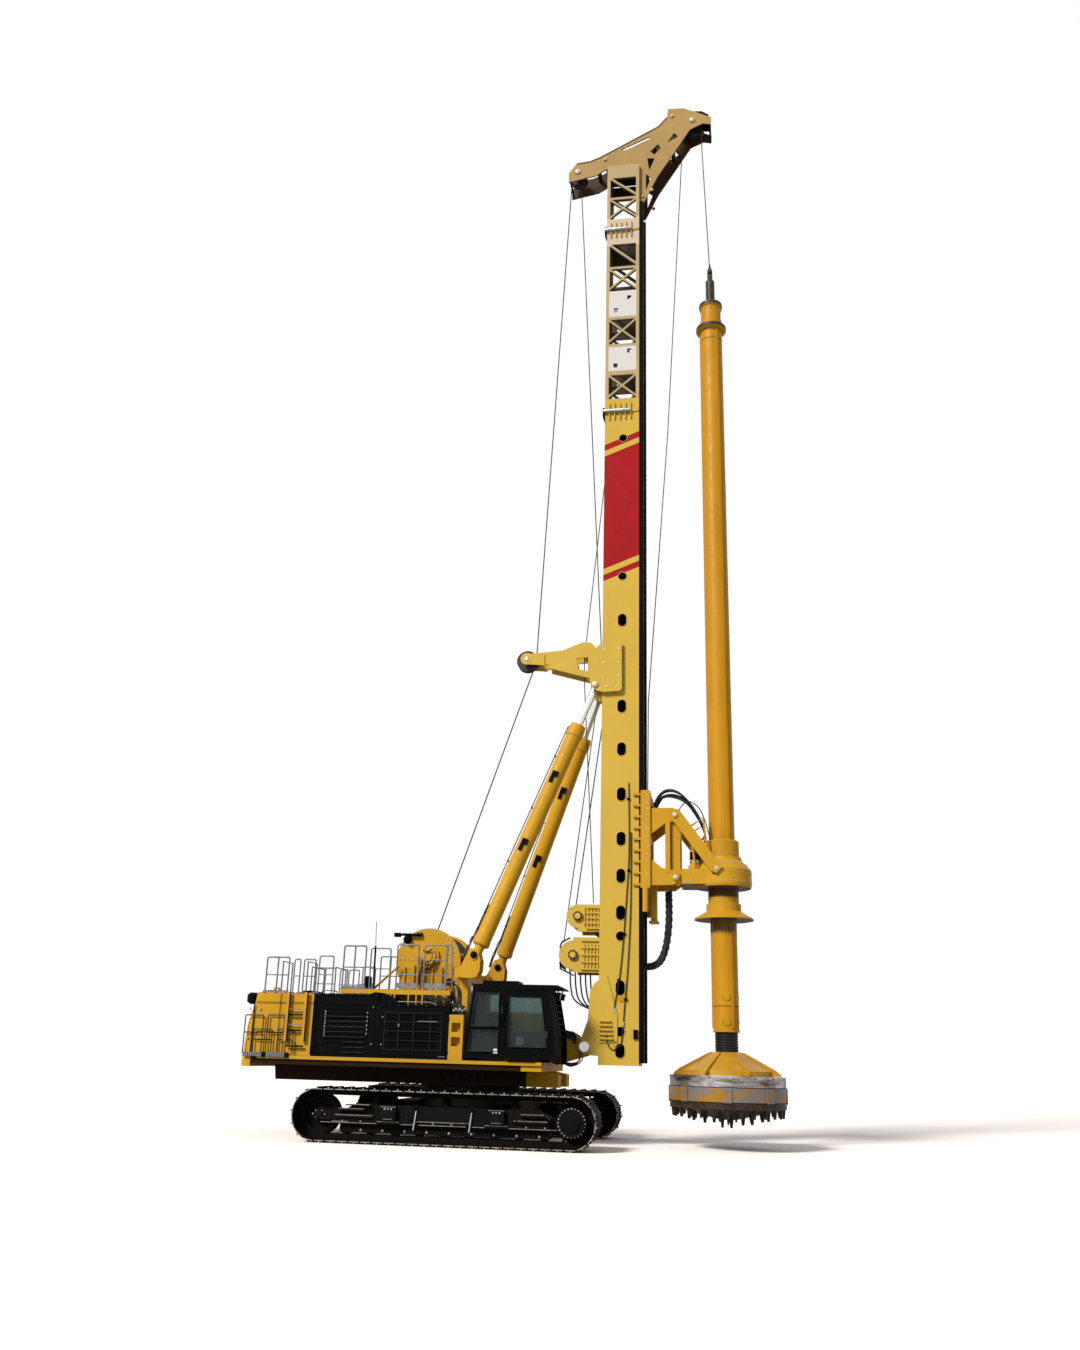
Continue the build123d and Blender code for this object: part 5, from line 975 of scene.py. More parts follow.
def louvre_lines(edge, latch, low, high, s):
    """Bright columns of hinges and latches beside the louvre field, and grey strips along the louvre edges."""
    for x, z0, z1, count in ((low.x + 0.24, 2.15, 2.66, 9), (high.x - 0.18, 2.2, 2.65, 6)):
        for z in between(z0, z1, count):
            latch.box((x - 0.013, x + 0.013), off_wall(s, 0, 0.014), (z - 0.022, z + 0.022))
    for n, z in enumerate(between(1.80, 2.56, 8)):
        start = (low.x + high.x) / 2 if n < 3 else low.x + 0.27
        edge.box((start, high.x - 0.22), off_wall(s, 0, 0.006), (z - 0.008, z + 0.008))


def grille_lines(edge, latch, low, high, s):
    """Coarse grid of flat bars, with a bright latch and handle."""
    middle = (low.x + high.x) / 2
    for x in (low.x + 0.10, low.x + 0.42, middle + 0.02, high.x - 0.36, high.x - 0.10):
        edge.box((x - 0.006, x + 0.006), off_wall(s, 0, 0.006), (low.z + 0.10, high.z - 0.10))
    for z in between(low.z + 0.12, high.z - 0.12, 5):
        edge.box((low.x + 0.10, high.x - 0.10), off_wall(s, 0, 0.006), (z - 0.006, z + 0.006))
    latch.box((middle + 0.1, high.x - 0.2), off_wall(s, 0, 0.01), (2.485, 2.50))
    latch.box((low.x + 0.41, low.x + 0.44), off_wall(s, 0, 0.012), (2.37, 2.43))


def engine_panels():
    """Bright strips, frames and latches on the side doors of the engine house, and the house's bolts."""
    for side, s in (("right", -1), ("left", 1)):
        for kind, lines in (("louvre", louvre_lines), ("grille", grille_lines)):
            node = f"{kind}_door_{side}"
            low, high = span(node)
            edge = Piece(f"{node}_strips", node, "grey_line")
            latch = Piece(f"{node}_latches", node, "galvanised")
            lines(edge, latch, low, high, s)
            free = high.x - 0.05 if kind == "louvre" else low.x + 0.05
            for z in (low.z + 0.22, high.z - 0.22):
                latch.boss(free, s * SIDE, z, ((0, 0.018), (0.01, 0.018), (0.012, 0.010), (0.02, 0.010)), 14)
            done(edge, latch)
    bolts = Piece("house_bolts", "upper", "drum_steel")
    for s in SIDES:
        for x0, x1, z in ((HOUSE[0].x + 0.12, -1.86, ROOF - 0.028), (-1.74, HOUSE[1].x - 0.1, 2.822)):
            for x in between(x0, x1, 8):
                bolts.side_bolt(x, s * SIDE, z, 0.010, 0.012)
    done(bolts)


def step_hoses():
    """Black hoses with bright fittings that come over the step column between the house and the cab."""
    hoses, ends = pieces("upper", step_hoses="rubber", step_hose_ends="stud")
    low, high = span("step_column")
    for n in range(6):
        x = low.x + 0.04 + n * 0.048
        y = -SIDE + 0.14 + 0.03 * (n % 3)
        over = (
            (HOUSE[1].x - 0.02, y + 0.25, 2.62), (x - 0.03, y + 0.1, 2.98 - 0.03 * n),
            (x + 0.02, y, 2.93 - 0.02 * n), (x + 0.03, y - 0.03, 2.72), (x + 0.02, y, high.z - 0.02),
        )
        hoses.tube(over, 0.022, smooth=3)
        ends.pillar(x + 0.03, y - 0.03, 2.72 + 0.03 * (n % 2), ((0, 0.028), (0.05, 0.028)), 8)
        ends.lathe((x - 0.02, y + 0.06, 2.90 - 0.025 * n), (0.6, 0, 1), ((0, 0.028), (0.04, 0.028)), 8)
    done(hoses, ends)


# ---------------------------------------------------------------- cab
def rounded_box(piece, x, y, z, corner):
    """Block with every edge and corner drawn in, as a ring of eight-sided outlines."""
    (x0, x1), (y0, y1), (z0, z1) = sorted(x), sorted(y), sorted(z)
    rings = []
    for height, inset in ((z0, corner), (z0 + corner, 0.0), (z1 - corner, 0.0), (z1, corner)):
        a, b, c, d = x0 + inset, x1 - inset, y0 + inset, y1 - inset
        outline = (
            (a + corner, c), (b - corner, c), (b, c + corner), (b, d - corner),
            (b - corner, d), (a + corner, d), (a, d - corner), (a, c + corner),
        )
        rings.append([(px, py, height) for px, py in outline])
    piece.skin(rings)


def padded(piece, bevel=0.0):
    """Puts a padded piece on its body, swollen by two levels of subdivision."""
    obj = piece.build(bevel)
    swell = obj.modifiers.new("padding", "SUBSURF")
    swell.levels = swell.render_levels = 2
    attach(obj, piece.body)
    return obj


BACKREST = (
    (0.55, 2.17, 0.215), (0.58, 2.30, 0.215), (0.545, 2.50, 0.215), (0.50, 2.68, 0.15),
    (0.48, 2.82, 0.15),
)


def seat():
    """Sprung driver's seat: padded cushion and back, arm rests with levers, and a bellows base."""
    low, high = span("cab_seat")
    middle = (low.y + high.y) / 2
    cushion, back, base, arms = pieces(
        "upper", seat_cushion="seat_fabric", seat_back="seat_fabric", seat_base="rubber",
        seat_arms="body_black",
    )
    rounded_box(cushion, (0.57, 1.14), (middle - 0.22, middle + 0.22), (2.07, 2.19), 0.035)
    for y in (middle - 0.20, middle + 0.20):
        rounded_box(cushion, (0.62, 1.13), (y - 0.03, y + 0.03), (2.15, 2.215), 0.02)
    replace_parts(padded(cushion, 0.012), "cab_seat")
    back.skin([
        [(x + 0.062 * math.cos(turn), middle + half * math.sin(turn), z) for turn in full_turn(12)]
        for x, z, half in BACKREST
    ])
    padded(back)
    for n in range(5):
        z, fold = 1.815 + 0.05 * n, 0.012 * (n % 2)
        base.box((0.64 + fold, 1.10 - fold), (middle - 0.18 + fold, middle + 0.18 - fold), (z, z + 0.05))
    for s in SIDES:
        y = middle + s * 0.28
        arms.box((0.72, 1.18), (y - 0.045, y + 0.045), (2.28, 2.33))
        arms.box((0.80, 1.10), (y - 0.035, y + 0.035), (2.08, 2.28))
        arms.rod((1.13, y, 2.32), (1.16, y, 2.47), 0.013, 10)
        arms.lathe((1.16, y, 2.45), (0.1, 0, 1), ((0, 0.02), (0.02, 0.03), (0.09, 0.032), (0.11, 0.02)), 14)
    done(base, bevel=0.006)
    done(arms, bevel=0.008)


NEAR = -SIDE  # the cab's side wall
CAB_PANES = (
    ((0.33, 2.42), (0.93, 2.42), (0.93, 3.13), (0.415, 3.13)),
    ((0.29, 1.90), (0.93, 1.90), (0.93, 2.33), (0.325, 2.33)),
)
DOOR_PANE = ((1.17, 2.01), (2.00, 2.01), (1.86, 3.04), (1.17, 3.04))
GUARD_CHEEK = (
    (2.03, 3.21), (2.13, 3.21), (2.30, 2.30), (2.325, 1.80), (2.30, 1.68), (2.22, 1.665), (2.10, 1.72),
    (2.19, 1.80), (2.215, 2.05),
)
HOSE_COVER = (
    (2.08, 2.43), (2.30, 2.40), (2.47, 2.31), (2.50, 2.20), (2.44, 2.19), (2.30, 2.26), (2.08, 2.27),
)


def seal(piece, y, outline, radius):
    """Rubber seal all round a pane."""
    piece.tube(at_side(y, outline + outline[:1]), radius, 6)


def cab_roof(rails, lens):
    """Roof box, lamps under the roof guard and the gutter's dark dashes."""
    low, high = CAB
    top, edge = high.z, span("cab_roof_guard")[1].x
    rails.box((low.x + 0.35, low.x + 1.15), (NEAR + 0.18, high.y - 0.18), (top + 0.08, top + 0.16))
    for y in (NEAR + 0.16, high.y - 0.16):
        rails.rod((edge - 0.12, y, top), (edge - 0.12, y, top - 0.07), 0.015)
        rails.lathe((edge - 0.18, y, top - 0.12), (1, 0, -0.25), ((0, 0.03), (0.04, 0.07), (0.12, 0.075)), 20)
        lens.lathe((edge - 0.07, y, top - 0.148), (1, 0, -0.25), ((0, 0.066), (0.012, 0.06)), 20)
    for n in range(9):
        x = low.x + 0.30 + 0.2 * n
        rails.box((x, x + 0.10), (NEAR - 0.006, NEAR + 0.02), (top - 0.03, top - 0.008))


def cab_guard(rails, seals):
    """Guard before the windscreen: slanted cheeks with bars between them, cables beside, and the wiper."""
    y0, y1, front = NEAR + 0.03, CAB[1].y - 0.03, CAB[1].x
    for y in (y0, y1):
        rails.plate(GUARD_CHEEK, (y - 0.035, y + 0.035))
    for n in range(8):
        z = 2.12 + 0.13 * n
        x = 2.285 - (z - 2.10) * 0.155
        rails.rod((x, y0, z), (x, y1, z), 0.013, 8)
    for x in (2.065, 2.12):
        seals.tube(at_side(NEAR + 0.002, ((x, 3.10), (x + 0.15, 2.10), (x + 0.16, 1.85))), 0.010, 6, 1)
    rails.rod((front - 0.02, -1.17, 2.12), (front - 0.1, -1.45, 2.62), 0.008)
    rails.rod((front - 0.115, -1.60, 2.40), (front - 0.105, -1.28, 2.80), 0.012, 8)


def cab_inside(rails, lens):
    """Console with its screen, two levers on foot plates, and bright things on the shelf."""
    rounded_box(rails, (1.72, 1.98), (-1.42, -0.92), (1.82, 2.02), 0.03)
    rails.box((1.86, 1.92), (-0.90, -0.80), (1.81, 2.48))
    rounded_box(rails, (1.80, 1.86), (-1.00, -0.79), (2.30, 2.52), 0.015)
    for y in (-1.28, -1.12):
        rails.rod((1.62, y, 1.82), (1.50, y, 2.18), 0.012, 8)
        rails.box((1.48, 1.60), (y - 0.05, y + 0.05), (1.86, 1.88))
    lens.box((1.30, 1.46), (-1.50, -1.42), (2.05, 2.22))
    lens.pillar(1.78, -1.46, 1.84, ((0, 0.035), (0.20, 0.045)), 16)


def cab_trim():
    """Seals, lamps, grab rail, inside, front guard and skirt of the cab, and the hose cover behind it."""
    rails, lens, seals = pieces("upper", cab_rails="body_black", cab_lamps="lens", cab_seals="rubber")
    cab_roof(rails, lens)
    cab_guard(rails, seals)
    cab_inside(rails, lens)
    for outline in CAB_PANES:
        seal(seals, NEAR, outline, 0.014)
    out = NEAR - 0.06
    grip = ((1.00, NEAR, 2.45), (1.00, out, 2.45), (1.00, out, 2.92), (1.00, NEAR, 2.92))
    rails.tube(grip, 0.014, smooth=2)
    for x, z in (((0.985, 1.005), (2.70, 2.86)), ((0.84, 0.93), (1.86, 1.96))):
        lens.box(x, (NEAR - 0.004, NEAR + 0.004), z)
    rails.box((1.15, 1.75), (out, NEAR), (1.715, 1.73))
    for s in SIDES:
        rails.plate(HOSE_COVER, (s * 0.400, s * 0.44))
    for n in range(4):
        drop = 0.03 * n
        covered = (
            (2.06, -0.46 + 0.02 * n, 2.38 - drop), (2.30, -0.45, 2.36 - drop), (2.44, -0.45, 2.26 - drop),
            (2.47, -0.42, 2.12),
        )
        seals.tube(covered, 0.014, smooth=2)
    done(rails, bevel=0.005)
    done(lens, seals)


def door_handle():
    """Handle and seal of the cab's door."""
    handle = Piece("cab_door_handle", "cab_door", "drum_steel")
    out = NEAR - 0.05
    handle.box((1.92, 2.02), (NEAR - 0.012, NEAR), (2.20, 2.34))
    grip = ((1.95, NEAR, 2.22), (1.95, out, 2.22), (1.95, out, 2.32), (1.95, NEAR, 2.32))
    handle.tube(grip, 0.009, smooth=2)
    seal(handle, NEAR, DOOR_PANE, 0.012)
    done(handle)


# ---------------------------------------------------------------- winch deck and cylinders
ROPE_TURNS = 34
TURN_OF_ROPE = ((0, 0.42), (0.008, 0.437), (0.019, 0.443), (0.030, 0.437), (0.038, 0.42))
CHEEK_Z = 3.83  # middle of the round top of the winch's cheeks
BARREL_END = 6.03  # from a luffing cylinder's foot pin to the end of its barrel


def winch_hoses(pipes):
    """Pipes round the winch's boss, and hoses that go down to the platform and the house."""
    pipes.tube(((-1.02, -1.05, 4.08), (-0.93, -1.07, 4.03), (-0.80, -1.05, 4.10)), 0.016, smooth=2)
    round_boss = (
        (-0.75, -0.99, 3.86), (-0.80, -1.00, 3.70), (-0.95, -1.00, 3.66), (-1.08, -0.99, 3.74),
        (-1.10, -0.98, 3.30),
    )
    pipes.tube(round_boss, 0.018, smooth=3)
    for n in range(4):
        x = -1.12 + 0.07 * n
        down = (
            (x, -0.99, 3.98 - 0.05 * n), (x + 0.02, -1.03, 3.8), (x - 0.01, -1.02, 3.5),
            (x, -1.0, WALK + 0.02),
        )
        pipes.tube(down, 0.014, smooth=2)
    for n in range(5):
        x, y, step = -0.22 + 0.05 * n, -1.34 + 0.05 * (n % 3), 0.1 * n
        behind = ((-0.55 + 0.05 * n, -0.98, 3.3), (-0.3, -1.2, 3.5 - 0.03 * n), (x, y, 3.25), (x, y, 2.9))
        pipes.tube(behind, 0.018, smooth=3)
        over_edge = (
            (-1.1 + step, -1.1, 3.12), (-0.9 + step, -1.50, 3.06), (-0.6 + step, -1.52, 2.95),
            (-0.5 + 0.08 * n, -1.5, 2.86),
        )
        pipes.tube(over_edge, 0.016, smooth=3)


def winch():
    """Rope turns, bosses, bolts, motor, posts and hoses of the main winch, and the platform's stay."""
    rope, trim, bolts, black, pipes, stay = pieces(
        "upper", drum_rope="rope", winch_trim="machine_yellow", winch_bolts="stud", winch_motor="body_black",
        winch_hoses="rubber", platform_stay="kelly_yellow",
    )
    for y in between(-0.68, 0.68, ROPE_TURNS):
        rope.lathe((DRUM_X, y - 0.019, DRUM_Z), (0, 1, 0), TURN_OF_ROPE, 48)
    for s in SIDES:
        trim.boss(DRUM_X, s * 0.96, DRUM_Z, ((0, 0.20), (0.04, 0.20), (0.045, 0.13), (0.07, 0.12)), 32)
        bolts.bolt_circle(DRUM_X, s * 1.0, DRUM_Z, 0.165, full_turn(10), 0.013, 0.016)
        bolts.bolt_circle(DRUM_X, s * 0.88, CHEEK_Z, 0.70, arc(12, 156, 17), 0.012, 0.014)
        trim.box((-1.60, -0.25), (s * 0.89, s * 1.02), (WALK, WALK + 0.03))
        for x in (-1.5, -1.18, -1.0, -0.86, -0.55, -0.36):
            trim.box((x - 0.015, x + 0.015), (s * 1.475, s * 1.505), (PLATFORM[0].z, WALK + 0.05))
    trim.box((-1.66, -1.30), (-0.80, 0.80), (4.22, 4.25))
    # hydraulic motor and its block at the rear of the near cheek
    black.boss(-1.44, -0.885, 4.33, ((0, 0.10), (0.05, 0.10), (0.06, 0.07), (0.15, 0.07), (0.16, 0.03)), 20)
    black.box((-1.66, -1.12), (-1.00, -0.89), (4.41, 4.46))
    black.box((-1.74, -1.60), (-1.03, -0.90), (4.38, 4.47))
    black.box((-1.20, -1.10), (-0.96, -0.885), (4.40, 4.49))
    for n in range(5):
        bolts.bolt((-1.62 + 0.12 * n, -0.95, 4.46), (0, 0, 1), 0.018, 0.02)
    winch_hoses(pipes)
    stay.rod((-2.05, -1.25, WALK + 0.04), (-1.58, -1.0, 3.72), 0.026)
    done(rope)
    done(black, trim, bevel=0.006)
    done(bolts, pipes, stay)


def joint_named(name):
    return next(joint for joint in frame["joints"] if joint["name"] == name)


def cylinder_axes(side):
    """Foot of one luffing cylinder, and the directions along it, across it and square to both."""
    foot = Vector(joint_named(f"barrel_swing_{side}")["pos_m"])
    foot.x -= SLEW
    way = Vector(joint_named(f"rod_stroke_{side}")["axis"]).normalized()
    across = (Vector((0, 1, 0)) - way * way.y).normalized()
    return foot, way, across, way.cross(across)


def barrel_pipe(pipes, dark, bright, foot, way, across, out, top):
    """Pipe along a barrel with its clips, and the hose that feeds it past the foot."""
    def spot(along, lift):
        return foot + way * along + out * lift

    pipes.tube((spot(0.55, 1), spot(0.75, 1), spot(top, 1), spot(top + 0.05, 0.88)), 0.013)
    pipes.tube((spot(0.60, 1), spot(0.36, 1.12), spot(0.12, 1.18), spot(-0.10, 1.10)), 0.019, smooth=3)
    for step in (0.62, 1.0, 2.3, 3.7, 5.1):
        if step < top:
            dark.block(spot(step, 0.96), (way, out.normalized(), across), (0.01, 0.015, 0.06))
    bright.lathe(spot(0.40, 1.10), way, ((0, 0.03), (0.16, 0.03)), 10)
    bright.lathe(spot(0.18, 1.16), way, ((0, 0.027), (0.08, 0.027)), 10)


def barrel(side, foot, way, across, ahead):
    """Gland, collar, clamps and pipes of one barrel."""
    yellow, dark, pipes, bright = (
        Piece(f"barrel_{part}_{side}", f"barrel_{side}", finish)
        for part, finish in (
            ("trim", "machine_yellow"), ("clamps", "body_black"), ("pipes", "drum_steel"),
            ("fittings", "stud"),
        )
    )
    gland = ((0, 0.187), (0.01, 0.205), (0.24, 0.205), (0.26, 0.19), (0.31, 0.19), (0.315, 0.10))
    yellow.lathe(foot + way * (BARREL_END - 0.30), way, gland, 36)
    yellow.lathe(foot + way * 0.30, way, ((-0.04, 0.14), (0.0, 0.195), (0.10, 0.195), (0.11, 0.186)), 36)
    for turn in full_turn(12):
        out = across * math.cos(turn) + ahead * math.sin(turn)
        bright.bolt(foot + way * (BARREL_END + 0.015) + out * 0.155, way, 0.013, 0.016)
    for step in (2.75, 4.55):
        for s in SIDES:
            spot = foot + way * step + across * s * 0.186
            dark.block(spot + ahead * 0.03, (way, ahead, across), (0.15, 0.045, 0.022))
            dark.block(spot + way * 0.09, (way, ahead, across), (0.07, 0.075, 0.018))
    for s, top in ((-1, BARREL_END - 0.12), (1, 1.2)):
        out = ahead * 0.215 + across * s * 0.05
        barrel_pipe(pipes, dark, bright, foot, way, across, out if ahead.x < 0 else -out, top)
    done(yellow, bevel=0.004)
    done(dark, pipes, bright)


def cylinders():
    """Trim of the luffing cylinders and the pin caps of their towers."""
    for side in ("left", "right"):
        foot, way, across, ahead = cylinder_axes(side)
        barrel(side, foot, way, across, ahead)
        caps = Piece(f"tower_caps_{side}", "upper", "body_black")
        rings = Piece(f"tower_rings_{side}", "upper", "machine_yellow")
        for s in SIDES:
            caps.lathe(foot + across * s * 0.222, across * s, ((0, 0.078), (0.02, 0.078), (0.025, 0.05)), 28)
            rings.lathe(foot + across * s * 0.198, across * s, ((0, 0.115), (0.012, 0.11)), 32)
        done(caps, rings)


# ---------------------------------------------------------------- mast
MAST_JOINTS = (18.21, 24.02)  # bolted joint of the box and the lattice, and the folding joint above
PORTS = (  # heights of the mast's ports, and half the length of their straight sides
    (17.4, 0), (13.45, 0), (12.26, 0.06), (10.01, 0.06), (8.93, 0.06), (7.82, 0.06), (6.75, 0.06),
    (5.88, 0.06), (5.03, 0.06), (4.5, 0), (3.35, 0.06), (2.4, 0), (1.99, 0.05),
)
PORT_R = 0.112
BRACKET_BOLTS = (
    (3.04, 11.45), (3.04, 11.1), (3.04, 10.75), (3.12, 10.48), (3.36, 10.48), (3.42, 10.75), (3.42, 11.1),
    (3.42, 11.45),
)
MAST_WINCHES = ((2.48, 4.95, 0.27), (2.38, 4.07, 0.33))  # place and radius of the auxiliary and crowd winch
CROWD_GUARD = (
    (2.07, 3.75), (2.07, 4.31), (2.11, 4.38), (2.30, 4.47), (2.31, 4.44), (2.14, 4.36), (2.10, 4.30),
    (2.10, 3.77), (2.30, 3.68), (2.29, 3.65),
)
CROWN_PINS = (  # place and radius
    (2.11, 26.29, 0.10), (5.42, 27.75, 0.10), (4.85, 27.95, 0.06), (2.9, 26.62, 0.055), (4.25, 25.4, 0.05),
    (4.0, 25.2, 0.05),
)


def mast_joint(yellow, bolts, dark, z, s):
    """Flange, gussets above and below it, long bolt and hinge lug on one side of a joint."""
    rear, face = MAST[0].x, s * MAST[1].y
    low, high = rear + 0.12, MAST[1].x - 0.22
    yellow.box((rear + 0.02, MAST[1].x - 0.02), (face, face + s * 0.03), (z - 0.035, z + 0.035))
    for foot in (z + 0.04, z - 0.25):
        for x in between(low, high, 5):
            yellow.box((x - 0.012, x + 0.012), (face, face + s * 0.05), (foot, foot + 0.21))
    shank = ((0, 0.045), (0.03, 0.055), (0.72, 0.055), (0.75, 0.03))
    bolts.lathe((rear - 0.04, face + s * 0.055, z), (1, 0, 0), shank, 20)
    lug = ((rear - 0.06, z + 0.12), (rear, z + 0.12), (rear, z - 0.30), (rear - 0.06, z - 0.14))
    dark.plate(lug, (face - s * 0.12, face + s * 0.02))


def port_rim(yellow, z, half, s):
    """Welded rim round one port."""
    rim = []
    for turn in full_turn(32):
        lift = half if 0 < turn < math.pi else -half
        x = MAST[0].x + 0.49 + PORT_R * math.cos(turn)
        rim.append((x, s * (MAST[1].y + 0.004), z + PORT_R * math.sin(turn) + lift))
    yellow.tube(rim + rim[:1], 0.009, 6)


def arm_tip(yellow, bolts, s):
    """Round end plate of the sheave arm, with its pin."""
    tip = s * ARM[1].y
    yellow.plate(((1.02, 11.24), (1.50, 11.20), (1.50, 11.50), (1.02, 11.53)), (tip, tip + s * 0.006))
    yellow.boss(1.04, tip, 11.385, ((0, 0.158), (0.012, 0.155)), 32)
    bolts.boss(1.04, tip + s * 0.012, 11.385, ((0, 0.055), (0.02, 0.05)), 20)


def mast_trim():
    """Joints, port rims, bracket bolts, foot ribs and a dark box of painted shade inside the mast."""
    inside, yellow, bolts, dark = pieces(
        "mast", mast_inside="seam", mast_ribs="mast_plain", mast_bolts="stud", mast_hinge_lugs="body_black",
    )
    # painted shade: a dark box in the mast's hollow, seen through its ports
    inside.box((3.03, 3.87), (-0.30, 0.30), (1.72, 18.1))
    for s in SIDES:
        face = s * MAST[1].y
        for z in MAST_JOINTS:
            mast_joint(yellow, bolts, dark, z, s)
        for z, half in PORTS:
            port_rim(yellow, z, half, s)
        for x, z in BRACKET_BOLTS:
            bolts.side_bolt(x, s * 0.62, z, 0.020, 0.02)
        bolts.boss(2.83, s * 0.65, 10.55, ((0, 0.06), (0.015, 0.06), (0.018, 0.03)))
        arm_tip(yellow, bolts, s)
        for n in range(3):
            z = 2.62 - 0.17 * n
            rib = ((3.03, face, z + 0.02), (3.18, face + s * 0.01, z - 0.05), (3.40, face, z - 0.19))
            yellow.tube(rib, 0.016, 6)
        yellow.boss(3.18, face, 3.30, ((0, 0.07), (0.02, 0.07), (0.024, 0.04)))
    done(inside)
    done(yellow, bevel=0.004)
    done(bolts)
    done(dark, bevel=0.004)


def mast_pipes():
    """Hydraulic lines clipped to the near side of the mast, and the hoses below the crowd winch."""
    pipes, clips, ends, cap = pieces(
        "mast", mast_pipes="rubber", mast_clips="body_black", mast_pipe_ends="stud",
        mast_plate="kelly_yellow",
    )
    wall = MAST[0].y
    face = wall - 0.03
    for outline in (
        ((3.66, 8.1), (3.68, 6.40), (3.63, 5.60), (3.55, 4.40), (3.46, 3.50), (3.36, 3.02), (3.34, 2.80)),
        ((3.72, 6.9), (3.72, 5.60), (3.70, 4.70), (3.64, 3.60), (3.57, 2.84), (3.55, 2.45), (3.50, 2.1)),
        ((3.18, 2.35), (3.20, 2.1), (3.34, 1.98), (3.46, 2.10), (3.50, 2.1)),
    ):
        pipes.tube(at_side(face, outline), 0.012, smooth=2)
    for x, z in ((3.44, 3.52), (3.60, 3.10), (3.56, 4.55), (3.66, 6.0), (3.65, 7.7)):
        clips.box((x - 0.03, x + 0.04), (wall, face - 0.018), (z - 0.025, z + 0.025))
    clips.box((3.78, 3.88), (wall - 0.05, wall), (2.25, 2.45))
    ends.rod((3.34, face, 2.80), (3.35, face, 2.90), 0.019)
    ends.rod((3.555, face, 2.52), (3.56, face, 2.62), 0.019)
    cap.boss(3.50, wall, 3.10, ((0, 0.07), (0.012, 0.07), (0.016, 0.045)))
    for n in range(5):
        x, y = 2.30 + 0.10 * n, -0.30 + 0.15 * n
        pipes.tube(((x, y, 3.72), (x + 0.01, y, 3.4), (x + 0.08, y, 3.05), (2.82, y, 2.86)), 0.018, smooth=2)
        ends.rod((x, y, 3.70), (x, y, 3.76), 0.026)
    for y in (-0.36, 0.0, 0.36):
        pipes.tube(at_side(y, ((2.95, 4.5), (2.88, 4.55), (2.9, 4.62), (2.96, 4.7))), 0.018, smooth=2)
    done(pipes, clips, ends, cap)


def winch_caps():
    """Bosses, bolts, guards and rope turns on the two mast winches."""
    bolts, yellow, dark, rope = pieces(
        "mast", mast_winch_bolts="stud", mast_winch_trim="mast_plain", mast_winch_guards="body_black",
        mast_winch_rope="rope",
    )
    for x, z, r in MAST_WINCHES:
        for s in SIDES:
            dark.boss(x, s * 0.50, z, ((0, 0.11), (0.018, 0.11), (0.022, 0.07)), 28)
            yellow.boss(x, s * 0.52, z, ((0, 0.075), (0.012, 0.07), (0.014, 0.04)))
            bolts.bolt_circle(x, s * 0.518, z, 0.092, full_turn(8), 0.008, 0.008)
            bolts.bolt_circle(x, s * 0.45, z, r - 0.035, arc(90, 180, 9), 0.011, 0.014)
            for rib in between(2.64, 2.96, 5):
                yellow.box((rib - 0.01, rib + 0.01), (s * 0.45, s * 0.49), (z - r * 0.85, z + r * 0.75))
        one_turn = ((0, r - 0.085), (0.014, r - 0.062), (0.028, r - 0.085))
        for y in between(-0.38, 0.38, 24):
            rope.lathe((x, y - 0.014, z), (0, 1, 0), one_turn, 36)
    for s in SIDES:
        dark.plate(CROWD_GUARD, (s * 0.40, s * 0.44))
    dark.box((2.065, 2.085), (-0.40, 0.40), (3.80, 4.28))
    for n in range(4):
        z = 3.88 + 0.12 * n
        dark.box((2.055, 2.095), (-0.43, 0.43), (z - 0.012, z + 0.012))
    done(bolts)
    done(yellow, dark, bevel=0.004)
    done(rope)


def crown_trim():
    """Pin caps, edge beads, rope guards, and dark plates of painted shade behind the crown's slots."""
    yellow, bolts, dark = pieces(
        "mast", crown_trim="crown_paint", crown_bolts="stud", crown_guards="body_black",
    )
    side = CROWN[1].y
    for s in SIDES:
        face = s * side
        for x, z, r in CROWN_PINS:
            yellow.boss(x, face, z, ((0, r), (0.02, r), (0.025, r * 0.7)))
            bolts.side_bolt(x, face + s * 0.02, z, r * 0.45, 0.03)
        for n in range(9):
            x = 2.75 + n * 0.19
            bolts.side_bolt(x, face, 26.60 + (x - 2.75) * 0.52, 0.013, 0.016)
        edge = ((2.08, 26.57), (2.46, 26.60), (2.75, 26.71), (4.44, 27.62), (4.69, 27.92))
        yellow.tube(at_side(face, edge), 0.022)
        # painted shade: dark plates behind the crown's slots
        slot_shade_plate = ((3.35, 26.78), (4.45, 27.36), (4.45, 26.98), (3.35, 26.44))
        dark.plate(slot_shade_plate, (s * (side - 0.07), s * (side - 0.05)))
    for x, z in ((5.93, 27.62), (1.90, 26.0)):
        dark.rod((x, -side + 0.03, z), (x, side - 0.03, z), 0.03)
    dark.box((4.75, 5.1), (-0.3, 0.3), (28.1, 28.14))
    hood = ((5.1, 28.06), (5.25, 28.13), (5.7, 28.08), (5.9, 27.93), (5.6, 27.95))
    dark.plate(hood, (-side + 0.05, side - 0.05))
    done(yellow, bevel=0.004)
    done(bolts, dark)


# ---------------------------------------------------------------- ropes
ARM_SHEAVE = (1.03, 11.38, 0.225)  # place and groove radius
REAR_SHEAVE = (2.11, 26.29, 0.235)
FRONT_SHEAVE = (5.42, 27.75, 0.235)
HOIST_Y = -0.05  # the hoist rope's plane
MAST_ROPES = (  # radius, y and stations of the crowd and auxiliary ropes beside the mast
    (0.015, 0.05, ((2.17, 26.01), (2.99, 10.01), (2.36, 5.22))),
    (0.013, -0.1, ((3.02, 16.95), (2.49, 11.4), (2.50, 10.8), (2.80, 5.3))),
    (0.013, 0.12, ((2.86, 10.75), (2.08, 4.40))),
    (0.014, 0.18, ((5.11, 27.30), (4.62, 17.9), (4.08, 10.3), (4.06, 8.0))),
)


